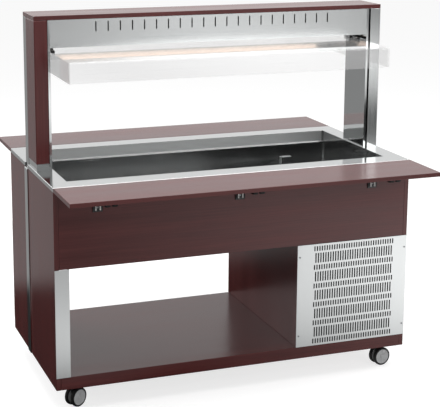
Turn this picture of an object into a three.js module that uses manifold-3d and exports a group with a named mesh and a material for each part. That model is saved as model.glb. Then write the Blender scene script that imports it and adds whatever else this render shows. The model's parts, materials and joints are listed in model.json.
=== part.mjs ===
// Mobile salad bar: laminate cabinet on casters with a cold well, folding tray slides, a canopy and a guard.
// Millimetres, +Z up. X runs left to right, the front faces -Y, the origin is on the floor under the middle.
import * as THREE from "three";
import { mergeVertices } from "three/addons/utils/BufferGeometryUtils.js";
import Module from "manifold-3d";

const wasm = await Module();
wasm.setup();

// ---- Overall sizes ----
const worktopLength = 1450;
const worktopDepth = 725;
const worktopHeight = 876;
const overallHeight = 1466;

// ---- Stock ----
const boardThickness = 18;
const sheetThickness = 1.5;
const fitGap = 0.3;
const cutOverrun = 1;
const weldTolerance = 1e-4;
const roundSides = 16;
const pinSides = 12;
const wheelSides = 20;
const mouthSides = 24;
const arcSteps = 4;

// ---- Base and lower cabinet ----
const baseThickness = 48;
const bayHeight = 418;
const stileWidth = 55;
const stileReturn = 22;
const machineBayWidth = 479;

// ---- Worktop and well ----
const rimDepth = 16;
const wellEndMargin = 72;
const wellSideMargin = 84;
const wellWall = 2;
const ledgeDrop = 46;
const ledgeWidth = 13;
const wellDepth = 236;
const drainFromDivider = 96;
const drainRadius = 22;
const drainFlangeRadius = 34;
const drainFlangeThickness = 2;
const drainWall = 5;
const drainTail = 40;

// ---- Posts and canopy ----
const postInset = 4;
const postDepth = 182;
const postWidth = 61;
const uprightWidth = 44;
const uprightDepth = 45;
const uprightWall = 2;
const uprightJoint = 6;
const coverLip = 9;
const claddingThickness = 12;
const footHeight = 27;
const footRecess = 2;
const shelfThickness = 16;
const hoodHeight = 105;
const hoodReturn = 18;
const ventEndMargin = 175;
const ventPitch = 48.2;
const ventWidth = 5;
const ventHeight = 38;
const ventDrop = 10;
const lampEndGap = 49;
const lampRadius = 13;
const lampRise = 35;
const lampSides = 14;
const socketWidth = 32;
const socketDepth = 40;
const socketDrop = 18;

// ---- Guard ----
const guardSideGap = 13.5;
const guardDepth = 630;
const guardHeight = 79;
const guardThickness = 5;
const guardDrop = 24;
const barLength = 120;
const barWidth = 12;
const pivotRadius = 4;
const pivotCover = 0.5;
const pivotClearance = 0.4;
const pivotOverhang = 2;
const knobRadius = 7;
const knobLength = 6;

// ---- Tray slides and folding consoles ----
const trayWidth = 238;
const trayThickness = 16;
const trayGap = 1.5;
const consoleEndInset = 165;
const hingeOffset = 14;
const hingeBelowTray = 12;
const armLength = 175;
const armWidth = 46;
const armDepth = 22;
const armChamfer = 7;
const armSheet = 2;
const armInnerEnd = 10;
const plateWidth = 37;
const plateSheet = 2;
const plateNose = 8;
const plateLength = 82;
const plateToeDepth = 4;
const hingePinRadius = 3;
const hingePinClearance = 0.3;
const hingePinOverhang = 2;

// ---- Casters ----
const wheelDiameter = 75;
const wheelPairWidth = 50;
const wheelShoulder = 3;
const tyreDepth = 9.5;
const hubRecess = 1;
const wheelWebClearance = 2;
const wheelHeadClearance = 3.4;
const axleRadius = 4;
const axleClearance = 0.4;
const casterTrail = 15;
const casterInsetX = 80;
const casterInsetY = 72;
const mountPlateSize = 60;
const mountPlateThickness = 3;
const raceRadius = 18;
const raceHeight = 3;
const kingpinRadius = 5;
const kingpinClearance = 0.6;
const kingpinLength = 12;
const headRadius = 22;
const headUndersideRadius = 16.5;
const headTaper = 6;
const headHeight = 15;
const webThickness = 9;
const webNose = 14;
const webHeel = 8.4;
const pedalWidth = 40;
const pedalLength = 20;
const pedalThickness = 4;
const pedalCheek = 3;
const pedalPinRadius = 2.5;
const pedalPinClearance = 0.3;
const pedalEyeRadius = 6;
const pedalWheelClearance = 1.2;
const pedalAngle = 34;
const casterHeadings = { front_left: 30, front_right: 8, back_left: 20, back_right: 0 };

// ---- Grille, service panel and control module ----
const grilleRows = 11;
const grilleSideMargin = 69;
const grilleEdgeMargin = 8.2;
const grilleColumnPitch = 32.7;
const grilleSlotWidth = 12;
const grilleBar = 8.1;
const louvreColumns = 3;
const louvreSideMargin = 64.5;
const louvreColumnGap = 25;
const louvreHeight = 8;
const louvreRowPitch = 28;
const louvreBaseMargin = 60;
const louvreTopMargin = 50;
const controlWidth = 130;
const controlHeight = 56;
const controlDepth = 60;
const controlBezel = 6;
const controlBezelThickness = 3;
const controlTopMargin = 70;
const displayMargin = 8;
const displayHeight = 28;
const displayRecess = 1;
const displayRockerGap = 21;
const rockerWidth = 20;
const rockerHeight = 30;
const rockerThickness = 9;
const rockerDish = 1.5;
const rockerWellDepth = 18;
const rockerTilt = 8;
const rockerClearance = 1;
const rockerMargin = 22;
const trunnionRadius = 2;
const trunnionLength = 3;
const trunnionClearance = 0.3;

// ---- Cooling unit ----
const compressorRadius = 88;
const compressorHeight = 195;
const compressorFootHeight = 25;
const compressorBaseRadius = 62;
const compressorCrownRadius = 76;
const compressorCapRadius = 44;
const compressorLowCurve = 31;
const compressorHighCurve = 44;
const compressorCrownDrop = 18;
const compressorCapDrop = 4;
const compressorFootDepth = 106;
const compressorSideMargin = 78;
const compressorBackMargin = 154.5;
const condenserSideGap = 51.5;
const condenserThickness = 45;
const condenserStandoff = 30;
const condenserFloorGap = 12;
const shroudDepth = 45;
const shroudWall = 3;
const shroudMargin = 35;
const fanRadius = 125;
const fanTipGap = 6;
const fanHubRadius = 34;
const fanHubLength = 24;
const fanBladeCount = 5;
const fanBladeThickness = 3;
const fanBladeChord = 52;
const fanBladePitch = 28;
const motorRadius = 36;
const motorLength = 50;
const motorBracketHeight = 24;
const shaftRadius = 4;
const shaftClearance = 0.4;

// ---- Derived levels and planes ----
const halfLength = worktopLength / 2;
const halfDepth = worktopDepth / 2;
const swivelStack = wheelHeadClearance + headHeight + fitGap + raceHeight;
const casterHeight = wheelDiameter + swivelStack + mountPlateThickness + fitGap;
const baseBottom = casterHeight;
const baseTop = baseBottom + baseThickness;
const apronBottom = baseTop + bayHeight;
const rimBottom = worktopHeight - rimDepth;
const carcassTop = rimBottom - fitGap;
const sheetUnderside = worktopHeight - sheetThickness;
const shelfBottom = overallHeight - shelfThickness;
const hoodTop = shelfBottom - fitGap;
const hoodBottom = shelfBottom - hoodHeight;
const panelInside = halfLength - boardThickness;
const boardEnd = panelInside - fitGap;
const facePlate = halfDepth + fitGap;
const postOuter = halfLength - postInset;
const postInner = postOuter - postWidth;
const postHalfDepth = postDepth / 2;
const uprightInner = postOuter - uprightWidth;
const uprightFront = postHalfDepth - uprightDepth;
const guardHalfLength = postInner - guardSideGap;
const guardTop = hoodBottom - guardDrop;
const barHeight = 2 * (pivotRadius + pivotCover);
const machineBayLeft = halfLength - machineBayWidth;
const drainX = machineBayLeft - drainFromDivider;

// ---- Finishes ----
const laminate = { color: 0x4a3536, roughness: 0.35, metalness: 0 };
const satinSteel = { color: 0xc8caca, roughness: 0.3, metalness: 1 };
const polishedSteel = { color: 0xb4b6b6, roughness: 0.12, metalness: 1 };
const blackPlastic = { color: 0x1b1b1c, roughness: 0.5, metalness: 0 };
const greyPlastic = { color: 0x9c9c9c, roughness: 0.5, metalness: 0 };
const clearPlastic = { color: 0xf2f6f5, roughness: 0.05, metalness: 0, transparent: true, opacity: 0.3 };
const warmGlass = { color: 0xffe2d0, roughness: 0.2, metalness: 0 };
const blackPaint = { color: 0x222224, roughness: 0.45, metalness: 0.2 };
const aluminiumFins = { color: 0xa9adb0, roughness: 0.5, metalness: 1 };

// ---- Solid helpers ----
function solidFrom(geometry) {
  geometry.deleteAttribute("normal");
  geometry.deleteAttribute("uv");
  const merged = mergeVertices(geometry, weldTolerance);
  return new wasm.Manifold(new wasm.Mesh({
    numProp: 3,
    vertProperties: new Float32Array(merged.attributes.position.array),
    triVerts: new Uint32Array(merged.index.array),
  }));
}

function geometryFrom(solid) {
  const mesh = solid.getMesh();
  const geometry = new THREE.BufferGeometry();
  geometry.setAttribute("position", new THREE.BufferAttribute(new Float32Array(mesh.vertProperties), 3));
  geometry.setIndex(new THREE.BufferAttribute(new Uint32Array(mesh.triVerts), 1));
  geometry.computeVertexNormals();
  return geometry;
}

function block([x0, x1], [y0, y1], [z0, z1]) {
  const geometry = new THREE.BoxGeometry(x1 - x0, y1 - y0, z1 - z0);
  geometry.translate((x0 + x1) / 2, (y0 + y1) / 2, (z0 + z1) / 2);
  return solidFrom(geometry);
}

// Turns a shape's own X, Y, Z into the axes of a section that runs along the named axis.
const sectionTurn = {
  x: new THREE.Matrix4().makeBasis(
    new THREE.Vector3(0, 1, 0), new THREE.Vector3(0, 0, 1), new THREE.Vector3(1, 0, 0)),
  y: new THREE.Matrix4().makeBasis(
    new THREE.Vector3(0, 0, 1), new THREE.Vector3(1, 0, 0), new THREE.Vector3(0, 1, 0)),
  z: new THREE.Matrix4(),
};

// Section points are (y, z) along x, (z, x) along y and (x, y) along z.
function prism(axis, points, [from, to]) {
  const shape = new THREE.Shape(points.map(([u, v]) => new THREE.Vector2(u, v)));
  const geometry = new THREE.ExtrudeGeometry(shape, { depth: to - from, bevelEnabled: false });
  geometry.translate(0, 0, from);
  geometry.applyMatrix4(sectionTurn[axis]);
  return solidFrom(geometry);
}

function arc([cx, cy], radius, fromDegrees, toDegrees, steps) {
  const points = [];
  for (let i = 0; i <= steps; i += 1) {
    const angle = THREE.MathUtils.degToRad(fromDegrees + ((toDegrees - fromDegrees) * i) / steps);
    points.push([cx + radius * Math.cos(angle), cy + radius * Math.sin(angle)]);
  }
  return points;
}

function rod(axis, radius, [u, v], span, sides = pinSides) {
  return prism(axis, arc([u, v], radius, 0, 360 - 360 / sides, sides - 1), span);
}

// Profile points are (radius, height), turned about +Z.
function turned(profile, sides) {
  const geometry = new THREE.LatheGeometry(profile.map(([r, h]) => new THREE.Vector2(r, h)), sides);
  geometry.rotateX(Math.PI / 2);
  return solidFrom(geometry);
}

function part(name, solid, finish) {
  const mesh = new THREE.Mesh(geometryFrom(solid), new THREE.MeshStandardMaterial(finish));
  mesh.name = name;
  return mesh;
}

function mirrored(range) {
  return [-range[1], -range[0]];
}

function grown([from, to], by) {
  return [from - by, to + by];
}

function around(middle, size) {
  return [middle - size / 2, middle + size / 2];
}

// ---- Cabinet ----
const uprightSpan = { x: [-postOuter, -uprightInner], y: [uprightFront, postHalfDepth] };

// A board or sheet with room for both uprights, the right one being the left one turned half round.
function notchedForUprights(solid, z) {
  const reach = [-halfLength - cutOverrun, -uprightInner + fitGap];
  const depth = [uprightSpan.y[0] - fitGap, uprightSpan.y[1] + fitGap];
  const left = block(reach, depth, z);
  const right = block(mirrored(reach), mirrored(depth), z);
  return solid.subtract(left).subtract(right);
}

function baseBoard() {
  const board = block([-boardEnd, boardEnd], [-halfDepth, halfDepth], [baseBottom, baseTop]);
  return part("base_board", notchedForUprights(board, grown([baseBottom, baseTop], cutOverrun)), laminate);
}

function apron(name, side) {
  const y = [halfDepth - boardThickness, halfDepth];
  const solid = block([-boardEnd, boardEnd], side < 0 ? mirrored(y) : y, [apronBottom, carcassTop]);
  return part(name, solid, laminate);
}

function stile(name, side) {
  const x = [-halfLength, -halfLength + stileWidth];
  const z = [baseTop + fitGap, apronBottom - fitGap];
  const face = [facePlate, facePlate + sheetThickness];
  const fold = [halfDepth - stileReturn, facePlate + sheetThickness];
  const front = block(x, side < 0 ? mirrored(face) : face, z);
  const inward = block([x[1] - sheetThickness, x[1]], side < 0 ? mirrored(fold) : fold, z);
  return part(name, front.add(inward), satinSteel);
}

function dividerPanel() {
  const x = [machineBayLeft, machineBayLeft + boardThickness];
  const lower = block(x, [-halfDepth, halfDepth], [baseTop + fitGap, apronBottom - fitGap]);
  const apronInside = halfDepth - boardThickness - fitGap;
  const upper = block(x, [-apronInside, apronInside], [apronBottom - 2 * fitGap, wellUnderside - fitGap]);
  return part("divider_panel", lower.add(upper), laminate);
}

const facePanelX = [machineBayLeft, halfLength];
const facePanelZ = [baseTop + fitGap, apronBottom - fitGap];
const facePanelMiddle = (facePanelX[0] + facePanelX[1]) / 2;

// Rows of short slots alternate with rows of long slots, twice as high, whose columns stand between theirs.
function grille() {
  const y = [-facePlate - sheetThickness, -facePlate];
  const through = grown(y, cutOverrun);
  const [bottom, panelTop] = grown(facePanelZ, -grilleEdgeMargin);
  const longRows = Math.floor(grilleRows / 2);
  const slotsHigh = panelTop - bottom - (grilleRows - 1) * grilleBar;
  const shortSlot = slotsHigh / (grilleRows + longRows);
  const patternWidth = machineBayWidth - 2 * grilleSideMargin - grilleSlotWidth;
  const shortRowColumns = Math.floor(patternWidth / grilleColumnPitch) + 1;
  let plate = block(facePanelX, y, facePanelZ);
  let top = panelTop;
  for (let row = 0; row < grilleRows; row += 1) {
    const isLong = row % 2 === 1;
    const slotHeight = isLong ? 2 * shortSlot : shortSlot;
    const columns = isLong ? shortRowColumns - 1 : shortRowColumns;
    for (let column = 0; column < columns; column += 1) {
      const x = facePanelMiddle + (column - (columns - 1) / 2) * grilleColumnPitch;
      plate = plate.subtract(block(around(x, grilleSlotWidth), through, [top - slotHeight, top]));
    }
    top -= slotHeight + grilleBar;
  }
  return part("grille_front", plate, satinSteel);
}

const controlMiddleZ = apronBottom - controlTopMargin;
const controlX = around(facePanelMiddle, controlWidth);
const controlZ = around(controlMiddleZ, controlHeight);

function servicePanel() {
  const y = [facePlate, facePlate + sheetThickness];
  const through = grown(y, cutOverrun);
  const louvresWide = machineBayWidth - 2 * louvreSideMargin - (louvreColumns - 1) * louvreColumnGap;
  const louvreLength = louvresWide / louvreColumns;
  const lowest = baseTop + louvreBaseMargin;
  const highest = controlZ[0] - louvreTopMargin - louvreHeight;
  let plate = block(facePanelX, y, facePanelZ);
  plate = plate.subtract(block(grown(controlX, fitGap), through, grown(controlZ, fitGap)));
  for (let z = lowest; z <= highest; z += louvreRowPitch) {
    for (let column = 0; column < louvreColumns; column += 1) {
      const x = facePanelMiddle + (column - (louvreColumns - 1) / 2) * (louvreLength + louvreColumnGap);
      plate = plate.subtract(block(around(x, louvreLength), through, [z, z + louvreHeight]));
    }
  }
  return part("service_panel", plate, satinSteel);
}

const controlFace = facePlate + sheetThickness + fitGap + controlBezelThickness;
const rockerX = controlX[1] - rockerMargin;
const rockerPivotY = controlFace - rockerThickness / 2;
const trunnionSpan = rockerWidth + 2 * (rockerClearance + trunnionLength);

function thermostat() {
  const bezelY = [controlFace - controlBezelThickness, controlFace];
  const bezel = block(grown(controlX, controlBezel), bezelY, grown(controlZ, controlBezel));
  const body = block(controlX, [controlFace - controlDepth, controlFace - displayRecess], controlZ);
  const displayX = [controlX[0] + displayMargin, rockerX - trunnionSpan / 2 - displayRockerGap];
  const display = block(displayX, [controlFace - displayRecess, controlFace + cutOverrun],
    around(controlMiddleZ, displayHeight));
  const rockerWell = block(
    around(rockerX, rockerWidth + 2 * rockerClearance),
    [controlFace - rockerWellDepth, controlFace + cutOverrun],
    around(controlMiddleZ, rockerHeight + 2 * rockerClearance),
  );
  const trunnionSeats = rod("x", trunnionRadius + trunnionClearance, [rockerPivotY, controlMiddleZ],
    around(rockerX, trunnionSpan));
  const housing = bezel.add(body).subtract(display).subtract(rockerWell).subtract(trunnionSeats);
  return part("thermostat", housing, blackPlastic);
}

// The rocker turns about X through its middle, on a trunnion at each side.
function powerSwitch() {
  const halfHeight = rockerHeight / 2;
  const back = -rockerThickness / 2;
  const front = rockerThickness / 2;
  const section = [
    [back, -halfHeight / 2], [back, halfHeight / 2], [0, halfHeight], [front, halfHeight],
    [front - rockerDish, 0], [front, -halfHeight], [0, -halfHeight],
  ];
  const trunnions = rod("x", trunnionRadius, [0, 0], around(0, trunnionSpan - 2 * fitGap));
  const rocker = prism("x", section, around(0, rockerWidth)).add(trunnions);
  const mesh = part("power_switch", rocker, blackPlastic);
  mesh.position.set(rockerX, rockerPivotY, controlMiddleZ);
  mesh.rotation.x = THREE.MathUtils.degToRad(-rockerTilt);
  return mesh;
}

// ---- Cooling unit ----
const condenserX = [machineBayLeft + boardThickness + condenserSideGap, panelInside - condenserSideGap];
const condenserHeight = 2 * (fanRadius + shroudMargin);
const condenserZ = [baseTop + condenserFloorGap, baseTop + condenserFloorGap + condenserHeight];
const fanMiddleX = (condenserX[0] + condenserX[1]) / 2;
const condenserFront = -halfDepth + condenserStandoff;
const shroudFront = condenserFront + condenserThickness;
const shroudBack = shroudFront + shroudDepth;
const fanMiddleZ = (condenserZ[0] + condenserZ[1]) / 2;
const fanY = (shroudFront + shroudBack) / 2;

function condenser() {
  const fins = block(condenserX, [condenserFront, shroudFront], condenserZ);
  const shroud = block(condenserX, [shroudFront - cutOverrun, shroudBack], condenserZ);
  const inside = block(grown(condenserX, -shroudWall), [shroudFront, shroudBack - shroudWall],
    grown(condenserZ, -shroudWall));
  const axis = [fanMiddleZ, fanMiddleX];
  const mouth = rod("y", fanRadius, axis, [shroudFront, shroudBack + cutOverrun], mouthSides);
  const bracket = block(condenserX, [shroudBack - cutOverrun, shroudBack + shroudWall],
    around(fanMiddleZ, motorBracketHeight));
  const motor = rod("y", motorRadius, axis, [shroudBack, shroudBack + motorLength], roundSides);
  const shaft = rod("y", shaftRadius, axis, [fanY - fanHubLength / 2, shroudBack + cutOverrun]);
  const footZ = [baseTop + fitGap, condenserZ[0] + cutOverrun];
  const foot = block(condenserX, [condenserFront, shroudBack], footZ);
  const frame = shroud.subtract(inside).subtract(mouth).add(bracket).add(foot);
  return part("condenser", fins.add(frame).add(motor).add(shaft), aluminiumFins);
}

function fan() {
  let rotor = rod("y", fanHubRadius, [0, 0], around(0, fanHubLength), roundSides);
  const bladeRoot = fanHubRadius / 2;
  const bladeTip = fanRadius - fanTipGap;
  for (let i = 0; i < fanBladeCount; i += 1) {
    const blade = new THREE.BoxGeometry(fanBladeChord, fanBladeThickness, bladeTip - bladeRoot);
    blade.rotateZ(THREE.MathUtils.degToRad(fanBladePitch));
    blade.translate(0, 0, (bladeTip + bladeRoot) / 2);
    blade.rotateY((2 * Math.PI * i) / fanBladeCount);
    rotor = rotor.add(solidFrom(blade));
  }
  const bore = rod("y", shaftRadius + shaftClearance, [0, 0], [-fanHubLength, fanHubLength]);
  const mesh = part("fan", rotor.subtract(bore), blackPlastic);
  mesh.position.set(fanMiddleX, fanY, fanMiddleZ);
  return mesh;
}

function compressor() {
  const low = compressorFootHeight;
  const high = compressorHeight;
  const shell = turned([
    [0, low], [compressorBaseRadius, low], [compressorRadius, low + compressorLowCurve],
    [compressorRadius, high - compressorHighCurve], [compressorCrownRadius, high - compressorCrownDrop],
    [compressorCapRadius, high - compressorCapDrop], [0, high],
  ], wheelSides);
  const feet = block([-compressorRadius, compressorRadius], around(0, compressorFootDepth),
    [0, low + compressorCapDrop]);
  const mesh = part("compressor", shell.add(feet), blackPaint);
  mesh.position.set(
    machineBayLeft + boardThickness + compressorSideMargin + compressorRadius,
    halfDepth - compressorBackMargin - compressorRadius,
    baseTop + fitGap,
  );
  return mesh;
}

// ---- Worktop and well ----
const wellTop = sheetUnderside - fitGap;
const wellFloor = worktopHeight - wellDepth;
const wellUnderside = wellFloor - wellWall;
const wellX = around(0, worktopLength - 2 * wellEndMargin);
const wellY = around(0, worktopDepth - 2 * wellSideMargin);

function worktop() {
  const x = around(0, worktopLength);
  const y = around(0, worktopDepth);
  const through = grown([rimBottom, worktopHeight], cutOverrun);
  const outer = block(x, y, [rimBottom, worktopHeight]);
  const under = block(grown(x, -sheetThickness), grown(y, -sheetThickness), [through[0], sheetUnderside]);
  const tray = outer.subtract(under).subtract(block(wellX, wellY, through));
  return part("worktop", notchedForUprights(tray, through), satinSteel);
}

function well() {
  const ledge = worktopHeight - ledgeDrop;
  const tubX = grown(wellX, -ledgeWidth);
  const tubY = grown(wellY, -ledgeWidth);
  const collar = block(grown(wellX, wellWall), grown(wellY, wellWall), [ledge - wellWall, wellTop]);
  const tub = block(grown(tubX, wellWall), grown(tubY, wellWall), [wellUnderside, ledge]);
  const upper = block(wellX, wellY, [ledge, wellTop + cutOverrun]);
  const lower = block(tubX, tubY, [wellFloor, wellTop]);
  const through = grown([wellUnderside, wellFloor], cutOverrun);
  const drain = rod("z", drainRadius + fitGap, [drainX, 0], through, wheelSides);
  return part("well", collar.add(tub).subtract(upper).subtract(lower).subtract(drain), polishedSteel);
}

function drainOutlet() {
  const seat = wellFloor + fitGap;
  const tailEnd = wellUnderside - drainTail;
  const outlet = turned([
    [0, tailEnd], [drainRadius - drainWall / 2, tailEnd], [drainRadius, tailEnd + drainWall],
    [drainRadius, seat], [drainFlangeRadius, seat], [drainFlangeRadius, seat + drainFlangeThickness],
    [drainRadius - drainWall, seat + drainFlangeThickness], [drainRadius - drainWall, tailEnd + drainWall],
    [0, tailEnd + drainWall],
  ], wheelSides);
  const mesh = part("drain_outlet", outlet, greyPlastic);
  mesh.position.x = drainX;
  return mesh;
}

// ---- Cabinet ends and posts, drawn for the left end and turned half round for the right ----
function endPanel(name, y) {
  return part(name, block([-halfLength, -panelInside], y, [baseBottom, carcassTop]), laminate);
}

function upright(name) {
  const outer = block(uprightSpan.x, uprightSpan.y, [baseBottom, hoodTop]);
  const inner = block(grown(uprightSpan.x, -uprightWall), grown(uprightSpan.y, -uprightWall),
    grown([baseBottom, hoodTop], cutOverrun));
  return part(name, outer.subtract(inner), satinSteel);
}

const pivotHeight = guardTop + fitGap + barHeight / 2;

function postCover(name) {
  const foot = worktopHeight + fitGap;
  const lipX = -postInner - coverLip;
  const faceX = -postInner - sheetThickness;
  const d = postHalfDepth;
  const t = sheetThickness;
  const section = [
    [-postInner, -d], [-postInner, d], [lipX, d], [lipX, d - t],
    [faceX, d - t], [faceX, t - d], [lipX, t - d], [lipX, -d],
  ];
  const face = prism("z", section, [foot, hoodTop]);
  const footOuter = -postOuter + footRecess;
  const footFront = -d + footRecess;
  const footWall = 2 * t;
  const footZ = [foot, worktopHeight + footHeight - fitGap];
  const footFrontWall = block([footOuter, -postInner - t / 2], [footFront, footFront + footWall], footZ);
  const footOuterWall = block([footOuter, footOuter + footWall], [footFront, uprightFront - fitGap], footZ);
  const through = grown([faceX, -postInner], cutOverrun);
  const pivotHole = rod("x", pivotRadius + pivotClearance, [0, pivotHeight], through, roundSides);
  return part(name, face.add(footFrontWall).add(footOuterWall).subtract(pivotHole), polishedSteel);
}

function postCladding(name) {
  const inside = -postInner - coverLip - fitGap;
  const back = uprightFront - fitGap;
  const c = claddingThickness;
  const d = postHalfDepth;
  const section = [
    [-postOuter, -d], [inside, -d], [inside, c - d],
    [c - postOuter, c - d], [c - postOuter, back], [-postOuter, back],
  ];
  return part(name, prism("z", section, [worktopHeight + footHeight, hoodTop]), laminate);
}

function cabinetEnd(side, wideName, narrowName) {
  const group = new THREE.Group();
  group.add(endPanel(`end_panel_${side}_${wideName}`, [-halfDepth, uprightFront - uprightJoint]));
  group.add(endPanel(`end_panel_${side}_${narrowName}`, [postHalfDepth + 2 * fitGap, halfDepth]));
  group.add(upright(`upright_${side}`));
  group.add(postCover(`post_cover_${side}`));
  group.add(postCladding(`post_cladding_${side}`));
  group.rotation.z = side === "right" ? Math.PI : 0;
  return group;
}

// ---- Canopy ----
function topShelf() {
  return part("top_shelf",
    block([-postOuter, postOuter], [-postHalfDepth, postHalfDepth], [shelfBottom, overallHeight]), laminate);
}

function hoodHousing() {
  const d = postHalfDepth;
  const t = sheetThickness;
  const lip = d - hoodReturn;
  const section = [
    [-d, hoodBottom], [-d, hoodTop], [d, hoodTop], [d, hoodBottom], [lip, hoodBottom], [lip, hoodBottom + t],
    [d - t, hoodBottom + t], [d - t, hoodTop - t], [t - d, hoodTop - t], [t - d, hoodBottom + t],
    [-lip, hoodBottom + t], [-lip, hoodBottom],
  ];
  const end = postInner - fitGap;
  let channel = prism("x", section, [-end, end]);
  const ventZ = [hoodTop - ventDrop - ventHeight, hoodTop - ventDrop];
  const ventCount = Math.floor((2 * (end - ventEndMargin)) / ventPitch) + 1;
  for (let i = 0; i < ventCount; i += 1) {
    const x = (i - (ventCount - 1) / 2) * ventPitch;
    channel = channel.subtract(block(around(x, ventWidth), grown([-d, d], cutOverrun), ventZ));
  }
  return part("hood_housing", channel, satinSteel);
}

function lamp() {
  const height = hoodBottom + lampRise;
  const ceiling = hoodTop - sheetThickness - fitGap;
  const socketX = [postInner - lampEndGap - socketWidth, postInner - lampEndGap];
  const tubeEnd = socketX[0] + cutOverrun;
  let fitting = rod("x", lampRadius, [0, height], [-tubeEnd, tubeEnd], lampSides);
  for (const x of [socketX, mirrored(socketX)]) {
    fitting = fitting.add(block(x, around(0, socketDepth), [height - socketDrop, ceiling]));
  }
  return part("lamp", fitting, warmGlass);
}

// ---- Guard ----
function guard() {
  const x = [-guardHalfLength, guardHalfLength];
  const y = around(0, guardDepth);
  const guardBottom = guardTop - guardHeight;
  const shell = block(x, y, [guardBottom, guardTop]);
  const inside = block(grown(x, -guardThickness), grown(y, -guardThickness),
    [guardBottom - cutOverrun, guardTop - guardThickness]);
  return part("guard", shell.subtract(inside), clearPlastic);
}

function guardBar(name) {
  const seat = guardTop + fitGap;
  const barX = [-guardHalfLength, -guardHalfLength + barWidth];
  const bar = block(barX, around(0, barLength), [seat, seat + barHeight]);
  const pinX = [-postInner - sheetThickness - pivotOverhang, barX[0] + cutOverrun];
  const pin = rod("x", pivotRadius, [0, pivotHeight], pinX, roundSides);
  const knobX = [barX[1] - cutOverrun, barX[1] + knobLength];
  const knob = rod("x", knobRadius, [0, pivotHeight], knobX, roundSides);
  const clearOfPlate = block(grown(knobX, cutOverrun), [-knobRadius, knobRadius], [seat - knobRadius, seat]);
  return part(name, bar.add(pin).add(knob.subtract(clearOfPlate)), blackPaint);
}

// ---- Tray slide on three folding consoles, drawn about its hinge line with the tray reaching to -Y ----
const hingeY = halfDepth + hingeOffset;
const hingeZ = worktopHeight - trayThickness - hingeBelowTray;
const consoleNames = ["left", "centre", "right"];

function consolePlate(name, x) {
  const half = plateWidth / 2;
  const back = hingeOffset - fitGap;
  const foot = plateNose - plateLength;
  const section = [
    [back, foot], [back, plateNose],
    ...arc([0, 0], plateNose, 90, 180, arcSteps),
    [back - plateToeDepth, foot],
  ];
  const channel = prism("x", section, [-half, half]);
  const hollow = block([plateSheet - half, half - plateSheet], [-plateNose - cutOverrun, back - plateSheet],
    grown([foot, plateNose], cutOverrun));
  const pin = rod("x", hingePinRadius, [0, 0], around(0, armWidth + 2 * hingePinOverhang));
  const mesh = part(name, channel.subtract(hollow).add(pin), satinSteel);
  mesh.position.x = x;
  return mesh;
}

function consoleArm(name, x) {
  const half = armWidth / 2;
  const top = hingeBelowTray - fitGap;
  const bottom = top - armDepth;
  const section = [
    [-armLength, top], [-armLength, bottom + armChamfer], [armChamfer - armLength, bottom],
    ...arc([0, 0], armInnerEnd, -90, 0, arcSteps),
    [armInnerEnd, top],
  ];
  const channel = prism("x", section, [-half, half]);
  const hollow = block([armSheet - half, half - armSheet], grown([-armLength, armInnerEnd], cutOverrun),
    [bottom - cutOverrun, top - armSheet]);
  const pinHole = rod("x", hingePinRadius + hingePinClearance, [0, 0], grown([-half, half], cutOverrun));
  const mesh = part(name, channel.subtract(hollow).subtract(pinHole), satinSteel);
  mesh.position.x = x;
  return mesh;
}

function traySlide(side) {
  const turn = side === "back" ? -1 : 1;
  const group = new THREE.Group();
  const innerEdge = hingeOffset - trayGap;
  const consoleSpacing = halfLength - consoleEndInset;
  const board = block([-halfLength, halfLength], [innerEdge - trayWidth, innerEdge],
    [hingeBelowTray, hingeBelowTray + trayThickness]);
  group.add(part(`tray_${side}`, board, laminate));
  consoleNames.forEach((place, i) => {
    const x = turn * (i - 1) * consoleSpacing;
    group.add(consolePlate(`console_plate_${side}_${place}`, x));
    group.add(consoleArm(`console_arm_${side}_${place}`, x));
  });
  group.position.set(0, -turn * hingeY, hingeZ);
  group.rotation.z = side === "back" ? Math.PI : 0;
  return group;
}

// ---- Casters, drawn about the swivel axis with the wheels trailing to +X ----
const wheelRadius = wheelDiameter / 2;
const plateBottom = casterHeight - fitGap - mountPlateThickness;
const raceBottom = plateBottom - raceHeight;
const headTop = raceBottom - fitGap;
const headBottom = headTop - headHeight;
const pedalRadius = wheelRadius + pedalEyeRadius + pedalWheelClearance;
const pedalPivotX = casterTrail + pedalRadius * Math.cos(THREE.MathUtils.degToRad(pedalAngle));
const pedalPivotZ = wheelRadius + pedalRadius * Math.sin(THREE.MathUtils.degToRad(pedalAngle));

function casterPlate(name) {
  const outline = around(0, mountPlateSize);
  const plate = block(outline, outline, [plateBottom, casterHeight - fitGap]);
  const race = rod("z", raceRadius, [0, 0], [raceBottom, plateBottom + cutOverrun], roundSides);
  const kingpin = rod("z", kingpinRadius, [0, 0], [raceBottom - kingpinLength, plateBottom]);
  return part(name, plate.add(race).add(kingpin), satinSteel);
}

// The horn behind the web carries the eye of the brake pedal.
function brakeHorn(thickness) {
  const lean = THREE.MathUtils.radToDeg(Math.atan2(pedalPivotX - casterTrail, pedalPivotZ - headBottom));
  return prism("y", [
    [headBottom + cutOverrun, casterTrail + webNose],
    ...arc([pedalPivotZ, pedalPivotX], pedalEyeRadius, lean - 90, lean + 90, arcSteps),
    [headBottom - webNose, casterTrail], [headBottom + cutOverrun, casterTrail],
  ], thickness);
}

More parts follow.
